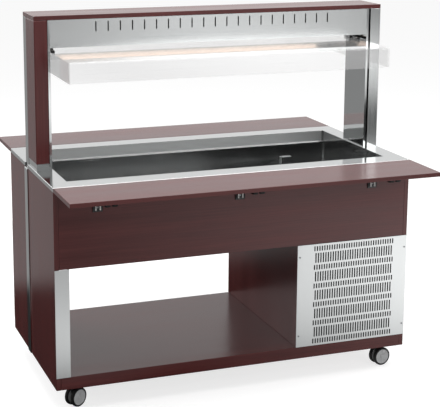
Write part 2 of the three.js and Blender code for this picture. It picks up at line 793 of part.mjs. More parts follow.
function casterFork(name, braked) {
  const thickness = around(0, webThickness);
  const through = grown(thickness, cutOverrun);
  const head = turned([
    [0, headBottom], [headUndersideRadius, headBottom], [headRadius, headBottom + headTaper],
    [headRadius, headTop], [0, headTop],
  ], roundSides);
  const web = prism("y", [
    [headBottom + cutOverrun, -webHeel], [headBottom + cutOverrun, casterTrail + webNose],
    ...arc([wheelRadius, casterTrail], webNose, 90, 270, 2 * arcSteps),
  ], thickness);
  let fork = head.add(web);
  if (braked) {
    const eye = rod("y", pedalPinRadius + pedalPinClearance, [pedalPivotZ, pedalPivotX], through);
    fork = fork.add(brakeHorn(thickness)).subtract(eye);
  }
  const bore = rod("y", axleRadius + axleClearance, [wheelRadius, casterTrail], through, roundSides);
  const socket = rod("z", kingpinRadius + kingpinClearance, [0, 0],
    [raceBottom - kingpinLength - fitGap, headTop + cutOverrun]);
  return part(name, fork.subtract(bore).subtract(socket), blackPlastic);
}

// Both wheels on their axle. Flats of the faceted tread stand on the floor, at the true radius.
function casterWheels(name) {
  const tread = wheelRadius / Math.cos(Math.PI / wheelSides);
  const side = wheelPairWidth / 2;
  const inner = webThickness / 2 + wheelWebClearance;
  const hubRadius = wheelRadius - tyreDepth;
  const half = [
    [axleRadius, inner], [tread - wheelShoulder, inner], [tread, inner + wheelShoulder],
    [tread, side - wheelShoulder], [tread - wheelShoulder, side], [hubRadius + hubRecess, side],
    [hubRadius, side - hubRecess], [0, side - hubRecess],
  ];
  const profile = [...half.map(([r, h]) => [r, -h]).reverse(), ...half];
  const mesh = part(name, turned(profile, wheelSides), blackPlastic);
  mesh.geometry.rotateZ(Math.PI / wheelSides);
  mesh.geometry.rotateX(Math.PI / 2);
  mesh.position.set(casterTrail, 0, wheelRadius);
  return mesh;
}

function casterBrake(name) {
  const near = pedalEyeRadius + 2 * fitGap;
  const far = near + pedalLength;
  const cheek = [webThickness / 2 + fitGap, webThickness / 2 + fitGap + pedalCheek];
  const outline = [
    [-pedalThickness, near], [0, far], [pedalThickness, far], [pedalThickness, near],
    ...arc([0, 0], pedalEyeRadius, 30, -180, 2 * arcSteps),
  ];
  let pedal = block([near, far], around(0, pedalWidth), [0, pedalThickness]);
  for (const y of [cheek, mirrored(cheek)]) {
    pedal = pedal.add(prism("y", outline, y));
  }
  pedal = pedal.add(rod("y", pedalPinRadius, [0, 0], [-cheek[1] + cutOverrun, cheek[1] - cutOverrun]));
  const mesh = part(name, pedal, blackPlastic);
  mesh.position.set(pedalPivotX, 0, pedalPivotZ);
  return mesh;
}

function caster(place, sideX, sideY, braked) {
  const group = new THREE.Group();
  group.add(casterPlate(`caster_plate_${place}`));
  const swivel = new THREE.Group();
  swivel.add(casterFork(`caster_fork_${place}`, braked));
  swivel.add(casterWheels(`caster_wheels_${place}`));
  if (braked) {
    swivel.add(casterBrake(`caster_brake_${place}`));
  }
  swivel.rotation.z = THREE.MathUtils.degToRad(casterHeadings[place]);
  group.add(swivel);
  group.position.set(sideX * (halfLength - casterInsetX), sideY * (halfDepth - casterInsetY), 0);
  return group;
}

// ---- Assembly ----
const saladBar = new THREE.Group();
saladBar.add(baseBoard());
saladBar.add(cabinetEnd("left", "front", "back"));
saladBar.add(cabinetEnd("right", "back", "front"));
saladBar.add(apron("apron_front", -1));
saladBar.add(apron("apron_back", 1));
saladBar.add(stile("stile_front", -1));
saladBar.add(stile("stile_back", 1));
saladBar.add(dividerPanel());
saladBar.add(grille());
saladBar.add(servicePanel());
saladBar.add(thermostat());
saladBar.add(powerSwitch());
saladBar.add(compressor());
saladBar.add(condenser());
saladBar.add(fan());
saladBar.add(worktop());
saladBar.add(well());
saladBar.add(drainOutlet());
saladBar.add(topShelf());
saladBar.add(hoodHousing());
saladBar.add(lamp());
saladBar.add(guard());
saladBar.add(guardBar("guard_bar_left"));
const rightBar = new THREE.Group();
rightBar.add(guardBar("guard_bar_right"));
rightBar.rotation.z = Math.PI;
saladBar.add(rightBar);
saladBar.add(traySlide("front"));
saladBar.add(traySlide("back"));
saladBar.add(caster("front_left", -1, -1, false));
saladBar.add(caster("front_right", 1, -1, false));
saladBar.add(caster("back_left", -1, 1, true));
saladBar.add(caster("back_right", 1, 1, true));

export default saladBar;
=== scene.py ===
"""Finishes a mobile salad bar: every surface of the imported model, in the frame that the model sets."""
import json
import math
import bpy
from bpy.props import FloatProperty, FloatVectorProperty, IntProperty, PointerProperty
from mathutils import Matrix, Vector


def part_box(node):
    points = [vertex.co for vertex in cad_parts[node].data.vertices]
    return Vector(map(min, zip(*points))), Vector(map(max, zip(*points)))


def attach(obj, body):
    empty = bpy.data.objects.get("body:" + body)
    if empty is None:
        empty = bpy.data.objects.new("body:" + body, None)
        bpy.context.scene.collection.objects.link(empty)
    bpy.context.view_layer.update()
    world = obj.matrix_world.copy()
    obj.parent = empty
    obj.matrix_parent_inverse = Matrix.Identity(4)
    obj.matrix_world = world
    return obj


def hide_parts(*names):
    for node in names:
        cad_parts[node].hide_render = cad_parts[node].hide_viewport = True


bl_info = {
    "name": "Mobile salad bar",
    "version": (1, 0, 0),
    "blender": (4, 5, 0),
    "location": "View3D > Sidebar > Salad bar",
    "description": "Dresses the packed salad bar with its boards, sheet steel, guard, casters and stage",
    "category": "Object",
}

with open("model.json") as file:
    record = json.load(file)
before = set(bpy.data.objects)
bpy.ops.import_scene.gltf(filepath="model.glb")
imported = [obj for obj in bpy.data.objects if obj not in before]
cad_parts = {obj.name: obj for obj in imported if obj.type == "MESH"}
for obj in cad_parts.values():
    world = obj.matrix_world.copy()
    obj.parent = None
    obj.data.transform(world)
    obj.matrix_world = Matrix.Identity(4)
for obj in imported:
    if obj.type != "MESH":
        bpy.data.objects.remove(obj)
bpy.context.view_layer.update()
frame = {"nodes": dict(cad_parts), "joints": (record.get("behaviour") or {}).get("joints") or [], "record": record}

MM = 0.001
UP = Vector((0, 0, 1))
ENDS = ((-1, "left"), (1, "right"))
FACES = ((-1, "front"), (1, "back"))
BODY_OF = {node: body for body, nodes in frame["record"]["behaviour"]["bodies"].items() for node in nodes}
SLOT_OF = {row["node"]: row["material_slot"] for row in frame["record"]["subparts"]}
JOINTS = {joint["name"]: joint for joint in frame["joints"]}


def linear(code):
    """The linear colour of an sRGB hex code."""
    channels = (int(code[i:i + 2], 16) / 255 for i in (0, 2, 4))
    return tuple(c / 12.92 if c <= 0.04045 else ((c + 0.055) / 1.055) ** 2.4 for c in channels)


# ---- Settings that a user would change ----
def colour(name, description, code):
    return FloatVectorProperty(name=name, description=description, default=linear(code), size=3,
                               min=0, max=1, subtype="COLOR")


def length(name, description, millimetres):
    return FloatProperty(name=name, description=description, default=millimetres * MM, min=0,
                         precision=4, unit="LENGTH")


def power(name, description, watts):
    return FloatProperty(name=name, description=description, default=watts, min=0, unit="POWER")


class SaladBarColours(bpy.types.PropertyGroup):
    laminate_dark: colour("Laminate, dark", "Darker streaks of the red-brown laminate", "431818")
    laminate_light: colour("Laminate, light", "Lighter streaks of the red-brown laminate", "562423")
    steel: colour("Stainless steel", "Satin and polished sheet", "C9CBCB")
    # The tub's colour is the steel's, darkened as painted shade in the well.
    shaded_tub_steel: colour("Tub steel", "Deep-drawn steel of the well", "AEAFAF")
    acrylic: colour("Acrylic", "Clear guard, faintly milky", "FAFAFA")
    black: colour("Black plastic", "Housings of casters and controls, powder coat", "161617")
    grey: colour("Grey plastic", "Wheel discs and drain", "CBCCCD")
    tread: colour("Tread", "Solid tread of the wheels", "060607")
    glow: colour("Lamp glow", "Warm light of the canopy lamp", "FFE2CF")
    floor: colour("Floor", "Pale studio floor", "B4B4B4")


class SaladBarSizes(bpy.types.PropertyGroup):
    board_edge: length("Board edge", "Radius of the banded board edges", 1.2)
    cladding_edge: length("Cladding edge", "Radius of the post cladding's edges", 3.0)
    sheet_edge: length("Sheet edge", "Radius of the folded sheet edges", 0.4)
    rim_radius: length("Rim radius", "Outer radius of the worktop's folded rim", 3.0)
    ledge_drop: length("Ledge drop", "Height from the worktop down to the pan ledge", 46.0)
    ledge_width: length("Ledge width", "Width of the pan ledge round the tub", 13.0)
    tub_wall: length("Tub wall", "Thickness of the well's sheet", 2.0)
    tub_corner: length("Tub corner", "Radius of the tub's upright corners", 5.0)
    tub_radius: length("Tub radius", "Radius between walls and floor, smaller than the corner's", 4.0)
    guard_bend: length("Guard bend", "Outer radius of the bends in the guard", 8.0)
    grille_sheet: length("Grille sheet", "Thickness of the grille's punched sheet", 0.8)
    slot_pitch: length("Slot pitch", "Distance between the grille's slots", 10.7)
    short_slot: length("Short slot", "Height of the short slots", 20.0)
    slot_bar: length("Slot bar", "Height of the bar between two rows of slots", 8.1)
    slot_rows: IntProperty(name="Slot rows", description="Rows of slots in the grille", default=11, min=1)
    row_slots: IntProperty(name="Slots in a row", description="Slots in a short row", default=33, min=2)
    wheel_radius: length("Wheel radius", "Radius of the caster wheels", 37.5)
    wheel_width: length("Wheel width", "Width of one wheel", 15.0)
    wheel_gap: length("Wheel gap", "Gap between the two wheels of a caster", 16.5)
    tyre_depth: length("Tyre depth", "Thickness of the wheels' tread", 7.5)


class SaladBarStudio(bpy.types.PropertyGroup):
    sky: FloatProperty(name="Sky", description="Light from the white surroundings", default=0.44, min=0)
    lamp: FloatProperty(name="Lamp", description="Strength of the canopy lamp", default=2.2, min=0)
    top_light: power("Top light", "Power of the soft light overhead", 190)
    side_light: power("Side light", "Power of the soft light at the front right", 40)
    back_light: power("Back light", "Power of the soft light at the back left", 110)


def colours():
    return bpy.context.scene.salad_bar_colours


def sizes():
    return bpy.context.scene.salad_bar_sizes


def studio():
    return bpy.context.scene.salad_bar_studio


# ---- Modelling helpers ----
def activate(piece):
    bpy.ops.object.select_all(action="DESELECT")
    piece.select_set(True)
    bpy.context.view_layer.objects.active = piece


def edit(piece, kind, wanted, operator, **settings):
    """Runs an edit mode operator with only the wanted vertices, edges or faces of a piece selected."""
    activate(piece)
    bpy.ops.object.mode_set(mode="EDIT")
    bpy.ops.mesh.select_mode(type=kind)
    bpy.ops.mesh.select_all(action="DESELECT")
    bpy.ops.object.mode_set(mode="OBJECT")
    mesh = piece.data
    if kind == "FACE":
        for face in mesh.polygons:
            face.select = wanted(face.center, face.normal)
    elif kind == "EDGE":
        for edge in mesh.edges:
            edge.select = wanted(*(mesh.vertices[i].co for i in edge.vertices))
    else:
        for vertex in mesh.vertices:
            vertex.select = wanted(vertex.co)
    bpy.ops.object.mode_set(mode="EDIT")
    operator(**settings)
    bpy.ops.object.mode_set(mode="OBJECT")
    return piece


def everything(*place):
    return True


def looks_down(centre, normal):
    return normal.z < -0.5


def extruded(piece, kind, wanted, step):
    return edit(piece, kind, wanted, bpy.ops.mesh.extrude_region_move,
                TRANSFORM_OT_translate={"value": step})


def shifted(piece, wanted, step):
    return edit(piece, "VERT", wanted, bpy.ops.transform.translate, value=step)


def opened(piece, wanted):
    """Takes out the wanted faces."""
    return edit(piece, "FACE", wanted, bpy.ops.mesh.delete, type="FACE")


def fillet(piece, radius, wanted, segments=4):
    """Rounds only the edges whose two ends pass the test."""
    return edit(piece, "EDGE", wanted, bpy.ops.mesh.bevel, offset=radius, segments=segments,
                affect="EDGES")


def dished(piece, normal, steps):
    """Insets the end faces that look along the normal, step by step, each (inset, depth inwards)."""
    end = max(vertex.co.dot(normal) for vertex in piece.data.vertices)

    def at_end(centre, face_normal):
        return face_normal.dot(normal) > 0.999 and centre.dot(normal) > end - 1e-6

    def sink():
        for inset, depth in steps:
            bpy.ops.mesh.inset(thickness=inset, depth=-depth)
    return edit(piece, "FACE", at_end, sink)


def modify(piece, kind, **settings):
    """Adds a modifier to a piece and applies it."""
    activate(piece)
    modifier = piece.modifiers.new(kind.title(), kind)
    for key, value in settings.items():
        setattr(modifier, key, value)
    bpy.ops.object.modifier_apply(modifier=modifier.name)
    return piece


def round_edges(piece, radius, segments=2, angle=30):
    return modify(piece, "BEVEL", width=radius, segments=segments, limit_method="ANGLE",
                  angle_limit=math.radians(angle), use_clamp_overlap=True)


def smooth(piece, angle=35):
    """Shades round edges soft and keeps large faces flat."""
    activate(piece)
    bpy.ops.object.shade_smooth_by_angle(angle=math.radians(angle))
    return modify(piece, "WEIGHTED_NORMAL", keep_sharp=True, weight=100)


def runs(a, b, axis):
    """Whether the edge from a to b runs along an axis."""
    step = b - a
    return abs(step["XYZ".index(axis)]) > 0.99 * step.length


def near(a, b):
    return abs(a - b) < 0.02 * MM


def centre_of(node):
    low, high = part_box(node)
    return (low + high) / 2


def copy_of(node, name):
    """A welded copy of a node's mesh, with its flat faces whole again."""
    piece = bpy.data.objects.new(name, frame["nodes"][node].data.copy())
    bpy.context.scene.collection.objects.link(piece)
    activate(piece)
    bpy.ops.mesh.customdata_custom_splitnormals_clear()

    def weld():
        bpy.ops.mesh.remove_doubles(threshold=0.005 * MM)
        bpy.ops.mesh.dissolve_limited(angle_limit=math.radians(0.5))
    return edit(piece, "VERT", everything, weld)


def placed(piece, name):
    """Names a piece and puts its place into its mesh."""
    piece.name = name
    activate(piece)
    bpy.ops.object.transform_apply(location=True, rotation=True, scale=True)
    return piece


def moved(piece, matrix):
    piece.matrix_world = matrix
    return placed(piece, piece.name)


def block(name, corner, other):
    """A box between two opposite corners."""
    low = Vector([*map(min, corner, other)])
    high = Vector([*map(max, corner, other)])
    bpy.ops.mesh.primitive_cube_add(size=1, location=(low + high) / 2, scale=high - low)
    return placed(bpy.context.object, name)


def drum(name, radius, height, location=(0, 0, 0), vertices=48):
    """An upright cylinder whose middle is at the location."""
    bpy.ops.mesh.primitive_cylinder_add(vertices=vertices, radius=radius, depth=height, location=location)
    return placed(bpy.context.object, name)


def lathe(name, profile, sides=48, ring=False):
    """Spins a profile of (radius, height) steps in millimetres round Z. It starts and ends on the axis,
    or is a closed ring."""
    points = [Vector((radius, 0, height)) * MM for radius, height in profile]
    if ring:
        points.append(points[0])
    bpy.ops.mesh.primitive_plane_add(size=1 * MM, location=points[0])

    def spin():
        bpy.ops.mesh.merge(type="CENTER")
        for start, stop in zip(points, points[1:]):
            bpy.ops.mesh.extrude_region_move(TRANSFORM_OT_translate={"value": stop - start})
        bpy.ops.mesh.select_all(action="SELECT")
        bpy.ops.mesh.spin(steps=sides, angle=math.tau, center=(0, 0, 0), axis=(0, 0, 1))
        bpy.ops.mesh.select_all(action="SELECT")
        bpy.ops.mesh.remove_doubles(threshold=0.002 * MM)
        bpy.ops.mesh.normals_make_consistent(inside=False)
    return placed(edit(bpy.context.object, "VERT", everything, spin), name)


def turned_to(point, axis):
    """Moves a piece modelled about the origin to a point, with its own Z turned to an axis."""
    return Matrix.Translation(point) @ UP.rotation_difference(Vector(axis)).to_matrix().to_4x4()


def twin(piece, name, matrix):
    """A copy with a mesh of its own, moved to another place."""
    other = bpy.data.objects.new(name, piece.data.copy())
    bpy.context.scene.collection.objects.link(other)
    return moved(other, matrix)


def joined(name, pieces):
    activate(pieces[0])
    for piece in pieces:
        piece.select_set(True)
    bpy.ops.object.join()
    pieces[0].name = name
    return pieces[0]


def hand_over(piece, finish, node=None, body=None, replaces=()):
    """Gives a finished piece its material and its body, and hides the nodes that it replaces."""
    piece.data.materials.clear()
    piece.data.materials.append(finish)
    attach(piece, body or BODY_OF[node])
    if replaces:
        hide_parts(*replaces)
    return piece


def finer(node, finish, radius, segments=2, angle=30, shape=None):
    """Stands for a node: the same shape with its edges rounded, after any shaping of its own."""
    piece = copy_of(node, node + "_finish")
    if shape:
        shape(piece)
    smooth(round_edges(piece, radius, segments, angle))
    return hand_over(piece, finish, node=node, replaces=(node,))


def extra(piece, finish, radius=0, body="cabinet"):
    """Finishes a piece that only the scene has: its edges rounded, where it has a radius, and smooth."""
    if radius:
        round_edges(piece, radius)
    return hand_over(smooth(piece), finish, body=body)


# ---- Material helpers ----
def add_node(tree, kind, settings=None, links=None):
    """Adds a shader node, sets its values and links its inputs, each to a node's first output or to a
    (node, output name)."""
    node = tree.nodes.new("ShaderNode" + kind)
    for key, value in (settings or {}).items():
        if isinstance(key, int) or key in node.inputs:
            node.inputs[key].default_value = value
        else:
            setattr(node, key, value)
    for key, source in (links or {}).items():
        source, output = source if isinstance(source, tuple) else (source, 0)
        tree.links.new(source.outputs[output], node.inputs[key])
    return node


def material(name, shade):
    """The material of that name. At its first use, shade adds its nodes and returns the last one."""
    made = bpy.data.materials.get(name)
    if not made:
        made = bpy.data.materials.new(name)
        made.use_nodes = True
        made.node_tree.nodes.clear()
        add_node(made.node_tree, "OutputMaterial", {}, {"Surface": shade(made.node_tree)})
    return made


def tint(base):
    """A colour of the settings by its name, or any other by its hex code, as a shader takes it."""
    return (*(getattr(colours(), base) if hasattr(colours(), base) else linear(base)), 1)


def streaks(tree, along, pitch, stretch, detail):
    """Noise drawn out along one axis: pitch is the distance between streaks, in metres."""
    place = add_node(tree, "TexCoord")
    scale = [1 / pitch] * 3
    scale["XYZ".index(along)] = 1 / (pitch * stretch)
    mapping = add_node(tree, "Mapping", {"Scale": scale}, {"Vector": (place, "Object")})
    return add_node(tree, "TexNoise", {"Scale": 1.0, "Detail": detail, "Roughness": 0.6},
                    {"Vector": mapping})


def over(low, high, start=0.3, stop=0.7):
    """Settings that take a value's part from start to stop, or a noise's middle part, to another range."""
    return {"From Min": start, "From Max": stop, "To Min": low, "To Max": high}


def worked(tree, wear, rough, relief, depth):
    """Links for a shader whose roughness follows one pattern and whose relief, if any, another."""
    spread = add_node(tree, "MapRange", over(*rough), {"Value": wear})
    links = {"Roughness": spread}
    if depth:
        marks = add_node(tree, "Bump", {"Distance": depth}, {"Height": relief})
        links["Normal"] = marks
    return links


def plain(name, base, values, rough, pitch, along="Z", stretch=1, detail=2.0, depth=0):
    """A material of one colour, with streaks in its roughness and, where it has a depth, its relief."""
    def shade(tree):
        marks = streaks(tree, along, pitch, stretch, detail)
        return add_node(tree, "BsdfPrincipled", {"Base Color": tint(base), **values},
                        worked(tree, marks, rough, marks, depth))
    return material(name, shade)


# ---- Materials ----
METAL = {"Metallic": 1.0}
PLASTIC = {"IOR": 1.5}
EASED = {"interpolation_type": "SMOOTHSTEP"}

# Cold-rolled stainless sheet. Each polish: (colour, roughness range, depth of the marks in mm).
STEEL = {
    # Ground dull: a soft grey sheen that takes no images.
    "ground": ("steel", (0.50, 0.58), 0.0012),
    # Worked in one direction with a fine belt: blurred light and dark areas.
    "satin": ("steel", (0.32, 0.38), 0.0012),
    # Brushed and then rolled: what stands near it shows as soft bands.
    "brushed": ("steel", (0.18, 0.24), 0.0010),
    # Buffed: mirrors what stands near it, slightly blurred.
    "polished": ("steel", (0.10, 0.15), 0.0005),
    # Rolled bright: a clear mirror.
    "bright": ("steel", (0.05, 0.08), 0.0002),
    # Pressed into the tub: a mirror, blurred a little, in the steel's colour darkened as painted shade in the
    # well.
    "drawn": ("shaded_tub_steel", (0.1, 0.16), 0.0003),
}

# Moulded, coated and other dull finishes: (colour, roughness, size in mm at which the grain is drawn).
# A grain finer than that, such as a spark-eroded mould's of 0.15 mm, wouldn't show.
MOULDED = {
    # Injection-moulded ABS from an eroded mould: a soft, broad highlight.
    "abs_black": ("black", 0.45, 0.6),
    "abs_grey": ("grey", 0.45, 0.6),
    # The same plastic from a polished mould: a tighter highlight.
    "abs_gloss_black": ("black", 0.25, 0.6),
    # Black polyester powder coat: satin, with a faint orange peel about 2 mm across.
    "powder_coat_black": ("black", 0.36, 2.0),
    # Grey-black thermoplastic rubber: dull, with dust in its pores.
    "tread_rubber": ("tread", 0.75, 0.8),
    # A black sheet, painted shade behind the hood's vents, and open-cell foam, which swallows nearly all light.
    "vent_shade_black": ("0A0A0A", 0.9, 1.2),
    "filter_foam": ("0B0B0C", 0.9, 3.0),
    # Moulded nylon and polyester resin: warm white, with a soft gloss.
    "nylon_white": ("E6E4E0", 0.4, 0.6),
    "pbt_white": ("D9D7D2", 0.4, 0.6),
    # Silicone rubber keys: mid grey and nearly matt.
    "silicone_grey": ("6B6D70", 0.55, 0.6),
    # Pad-printed ink: flat white.
    "print_white": ("D8D8D6", 0.5, 0.6),
    # Smoked acrylic window: nearly black, glossy, with faint dust.
    "smoked_acrylic": ("120606", 0.12, 4.0),
}


def stainless(along, polish):
    base, rough, depth = STEEL[polish]
    # Grinding marks are about 0.1 mm apart, drawn 1.2 mm apart so that they show.
    return plain(f"stainless_{polish}_{along.lower()}", base, METAL, rough, 1.2 * MM, along, 250, 3.0,
                 depth * MM)


def moulded(name):
    base, roughness, grain = MOULDED[name]
    return plain(name, base, PLASTIC, (roughness - 0.05, roughness + 0.07), grain * MM, depth=0.03 * MM)


def zinc_plate():
    """Blue-passivated zinc on pressed steel: bright, cool grey, slightly cloudy."""
    return plain("zinc_plate", "8E9092", METAL, (0.26, 0.4), 6 * MM)


def turned_aluminium():
    """Turned aluminium: pale, slightly warm, with fine rings."""
    return plain("turned_aluminium", "C6C5C2", METAL, (0.25, 0.36), 0.8 * MM, "Y", detail=1.0)


def laminate(along):
    """High-pressure laminate with a printed dark wood grain, pressed to a semi-gloss.
    Its clear resin face throws back the bright studio at a low angle, and its grain is only just seen."""
    def shade(tree):
        # The printed grain lines are about 0.8 mm apart, drawn 2 mm apart so that they show.
        grain = streaks(tree, along, 2 * MM, 110, 3.0)
        flame = streaks(tree, along, 45 * MM, 16, 2.0)
        # The press plate's fine pearl texture, 0.4 mm, drawn at 1.5 mm.
        pearl = streaks(tree, along, 1.5 * MM, 3, 1.0)
        part = add_node(tree, "Math", {"operation": "MULTIPLY", 1: 0.4}, {0: flame})
        tone = add_node(tree, "Math", {"operation": "MULTIPLY_ADD", 1: 0.6},
                        {0: grain, 2: part})
        ramp = add_node(tree, "ValToRGB", {}, {"Fac": tone})
        dark, light = ramp.color_ramp.elements
        dark.position, dark.color = 0.36, tint("laminate_dark")
        light.position, light.color = 0.64, tint("laminate_light")
        links = worked(tree, flame, (0.2, 0.26), pearl, 0.003 * MM)
        return add_node(tree, "BsdfPrincipled", {**PLASTIC, "Specular Tint": tint("FFF1F1")},
                        {"Base Color": ramp, **links})
    return material("laminate_grain_" + along.lower(), shade)


def acrylic():
    """Cast acrylic sheet, drape-bent: clear, with a faint milkiness from wiping, and mirror-like at a low
    angle. It is drawn as a clear film, which a sheet this thin looks like."""
    def shade(tree):
        # Wipe marks are 0.2 mm wide, drawn 3 mm wide so that they show.
        wipes = streaks(tree, "X", 3 * MM, 60, 3.0)
        milk = add_node(tree, "MapRange", over(0.05, 0.09), {"Value": wipes})
        clear = add_node(tree, "BsdfTransparent", {"Color": tint("acrylic")})
        haze = add_node(tree, "BsdfPrincipled",
                        {"Base Color": tint("acrylic"), "IOR": 1.49, "Roughness": 0.3})
        sheet = add_node(tree, "MixShader", {},
                         {0: milk, 1: clear, 2: haze})
        gloss = add_node(tree, "BsdfAnisotropic", {"Color": (1, 1, 1, 1), "Roughness": 0.03})
        facing = add_node(tree, "LayerWeight", {"Blend": 0.5})
        # The share that a polished face mirrors: 4 percent square on, rising with the fifth power.
        grazing = add_node(tree, "Math", {"operation": "POWER", 1: 5.0}, {0: (facing, "Facing")})
        share = add_node(tree, "MapRange", {"To Min": 0.04, "To Max": 1.0},
                         {"Value": grazing})
        return add_node(tree, "MixShader", {},
                        {0: share, 1: sheet, 2: gloss})
    return material("cast_acrylic", shade)


def lamp_glass():
    """Opal glass of a fluorescent tube: an even, warm glow from end to end."""
    def shade(tree):
        return add_node(tree, "BsdfPrincipled", {
            "Base Color": tint("FFF4EA"), "Roughness": 0.2,
            "Emission Color": tint("glow"), "Emission Strength": studio().lamp,
        })
    return material("opal_lamp_glass", shade)


def fin_stack():
    """Aluminium condenser fins on edge, 2.1 mm apart, drawn 4 mm apart so that they show. They are coloured
    near black as painted shade, darkest in the painted shade of the deep gaps between them; the edges are dull
    with dust."""
    def shade(tree):
        place = add_node(tree, "TexCoord")
        mapping = add_node(tree, "Mapping", {"Scale": (1 / (4 * MM), 0, 0)},
                           {"Vector": (place, "Object")})
        wave = add_node(tree, "TexWave", {"Scale": 1 / math.tau}, {"Vector": mapping})
        ramp = add_node(tree, "ValToRGB", {}, {"Fac": (wave, "Fac")})
        # Painted shade: near black in the gaps between the fins, a little less dark on their edges.
        for stop, code in zip(ramp.color_ramp.elements, ("060607", "1B1C1D")):
            stop.color = tint(code)
        edges = add_node(tree, "Bump", {"Distance": 0.4 * MM}, {"Height": (wave, "Fac")})
        return add_node(tree, "BsdfPrincipled", {**METAL, "Roughness": 0.8},
                        {"Base Color": ramp, "Normal": edges})
    return material("condenser_fins", shade)


def digit_glow():
    """Red light-emitting segments behind the window, a little uneven along each bar."""
    def shade(tree):
        uneven = streaks(tree, "Z", 3 * MM, 1, 1.0)
        glow = add_node(tree, "MapRange", over(1.2, 1.8), {"Value": uneven})
        return add_node(tree, "BsdfPrincipled", {
            "Base Color": tint("5A0A06"), "Roughness": 0.5, "Emission Color": tint("FF2A14"),
        }, {"Emission Strength": glow})
    return material("red_segments", shade)


# ---- Fasteners ----
def fasteners(name, spots, normal, radius, body="cabinet"):
    """One pan head with a socket at each spot, looking along the normal, all in one piece."""
    height = 0.55 * radius
    brow = 0.28 * radius
    head = drum("screw_head", radius, height, (0, 0, 0.27 * radius), 18)
    fillet(head, brow, lambda a, b: min(a.z, b.z) > 0.3 * radius, 3)
    smooth(dished(head, UP, ((brow, 0), (0.02 * radius, 0.3 * radius))))
    heads = [twin(head, name, turned_to(spot, normal)) for spot in spots]
    bpy.data.objects.remove(head)
    return extra(joined(name, heads), zinc_plate(), body=body)


def panel_screws(name, node, outwards):
    """Four screws in a panel's face, in from its sides and clear of its folded ends."""
    low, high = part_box(node)
    face = high.y if outwards > 0 else low.y
    spots = [(x, face, z) for x in (low.x + 10 * MM, high.x - 10 * MM)
             for z in (low.z + 46 * MM, high.z - 48 * MM)]
    fasteners(name, spots, (0, outwards, 0), 3.6 * MM)


# ---- Operators, one for each piece or group of like pieces ----
class SALADBAR_OT_boards(bpy.types.Operator):
    """Finish the laminate boards: ends, aprons, base, divider, canopy shelf and post cladding"""
    bl_idname = "saladbar.boards"
    bl_label = "Laminate boards"

    def execute(self, context):
        for node in SLOT_OF:
            if node.startswith(("base_board", "apron", "top_shelf")):
                finer(node, laminate("X"), sizes().board_edge)
            elif node.startswith(("end_panel", "divider")):
                finer(node, laminate("Z"), sizes().board_edge)
            elif node.startswith("post_cladding"):
                finer(node, laminate("Z"), sizes().cladding_edge, 4)
        return {"FINISHED"}


class SALADBAR_OT_worktop(bpy.types.Operator):
    """Fold the worktop from one sheet, with a rounded rim and the opening for the well"""
    bl_idname = "saladbar.worktop"
    bl_label = "Worktop"

    def execute(self, context):
        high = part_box("worktop")[1]
        sheet = 1.5 * MM
        radius = sizes().rim_radius

        def rim(inset):
            """Picks the rim's top edges and upright corners, of the skin at that inset."""
            x, y, z = high.x - inset, high.y - inset, high.z - inset

            def wanted(a, b):
                round_it = all(near(abs(v.x), x) or near(abs(v.y), y) for v in (a, b))
                level = near(a.z, z) and near(b.z, z)
                corner = runs(a, b, "Z") and near(abs(a.x), x) and near(abs(a.y), y)
                return round_it and (level or corner)
            return wanted

        def fold(piece):
            for inset in (0, sheet):
                fillet(piece, radius - inset, rim(inset))
        finer("worktop", stainless("X", "polished"), 0.3 * MM, angle=50, shape=fold)
        return {"FINISHED"}


def drawn_well(low, high, ledge):
    """The well's inside, open at the top: the upper part, the ledge, and the tub below it."""
    width = sizes().ledge_width
    end = high.x - width
    # The ledge all but vanishes at the right end.
    right_ledge = 0.3 * MM
    piece = block("well_collar", (low.x, low.y, ledge), high)
    edit(piece, "FACE", looks_down, bpy.ops.mesh.inset, thickness=width)
    shifted(piece, lambda co: near(co.z, ledge) and near(co.x, end), (width - right_ledge, 0, 0))

    def floor(centre, normal):
        return looks_down(centre, normal) and abs(centre.y) < MM and abs(centre.x) < 100 * MM
    extruded(piece, "FACE", floor, (0, 0, low.z - ledge))
    fillet(piece, sizes().tub_corner, lambda a, b: runs(a, b, "Z"))
    fillet(piece, sizes().tub_radius, lambda a, b: near(a.z, low.z) and near(b.z, low.z), 5)

    def brink(a, b):
        return near(a.z, ledge) and near(b.z, ledge) and min(a.x, b.x) < end
    fillet(piece, width / 8, brink, 3)
    return opened(piece, lambda centre, normal: normal.z > 0.999 and near(centre.z, high.z))


def split_tub(collar, ledge, end):
    """Parts the tub, its ledge and end walls from the two ground strips above the ledge."""
    def is_tub(centre, normal):
        above = centre.z > ledge + sizes().ledge_width / 4
        return not (above and abs(normal.y) > 0.999 and abs(centre.x) < end)
    edit(collar, "FACE", is_tub, bpy.ops.mesh.separate, type="SELECTED")
    tub = next(piece for piece in bpy.context.selected_objects if piece != collar)
    tub.name = "well_tub"
    return tub


def strainer(drain, floor):
    """A pressed disc with rings of round holes over the drain."""
    disc = lathe("drain_strainer", ((0, 1.0), (12, 1.2), (20.5, 2.6), (21.3, 2.2), (12, 0.4), (0, 0.2)))
    hole_radius = 1.9 * MM
    holes = []
    for count, ring in ((1, 0), (6, 6 * MM), (12, 12 * MM)):
        for index in range(count):
            turn = index * math.tau / count
            spot = (ring * math.cos(turn), ring * math.sin(turn), 0)
            holes.append(drum("hole", hole_radius, 9 * MM, spot, 14))
    holes = joined("holes", holes)
    modify(disc, "BOOLEAN", operation="DIFFERENCE", object=holes, solver="EXACT")
    bpy.data.objects.remove(holes)
    moved(disc, Matrix.Translation((drain.x, drain.y, floor + 0.4 * MM)))
    extra(disc, stainless("X", "satin"))


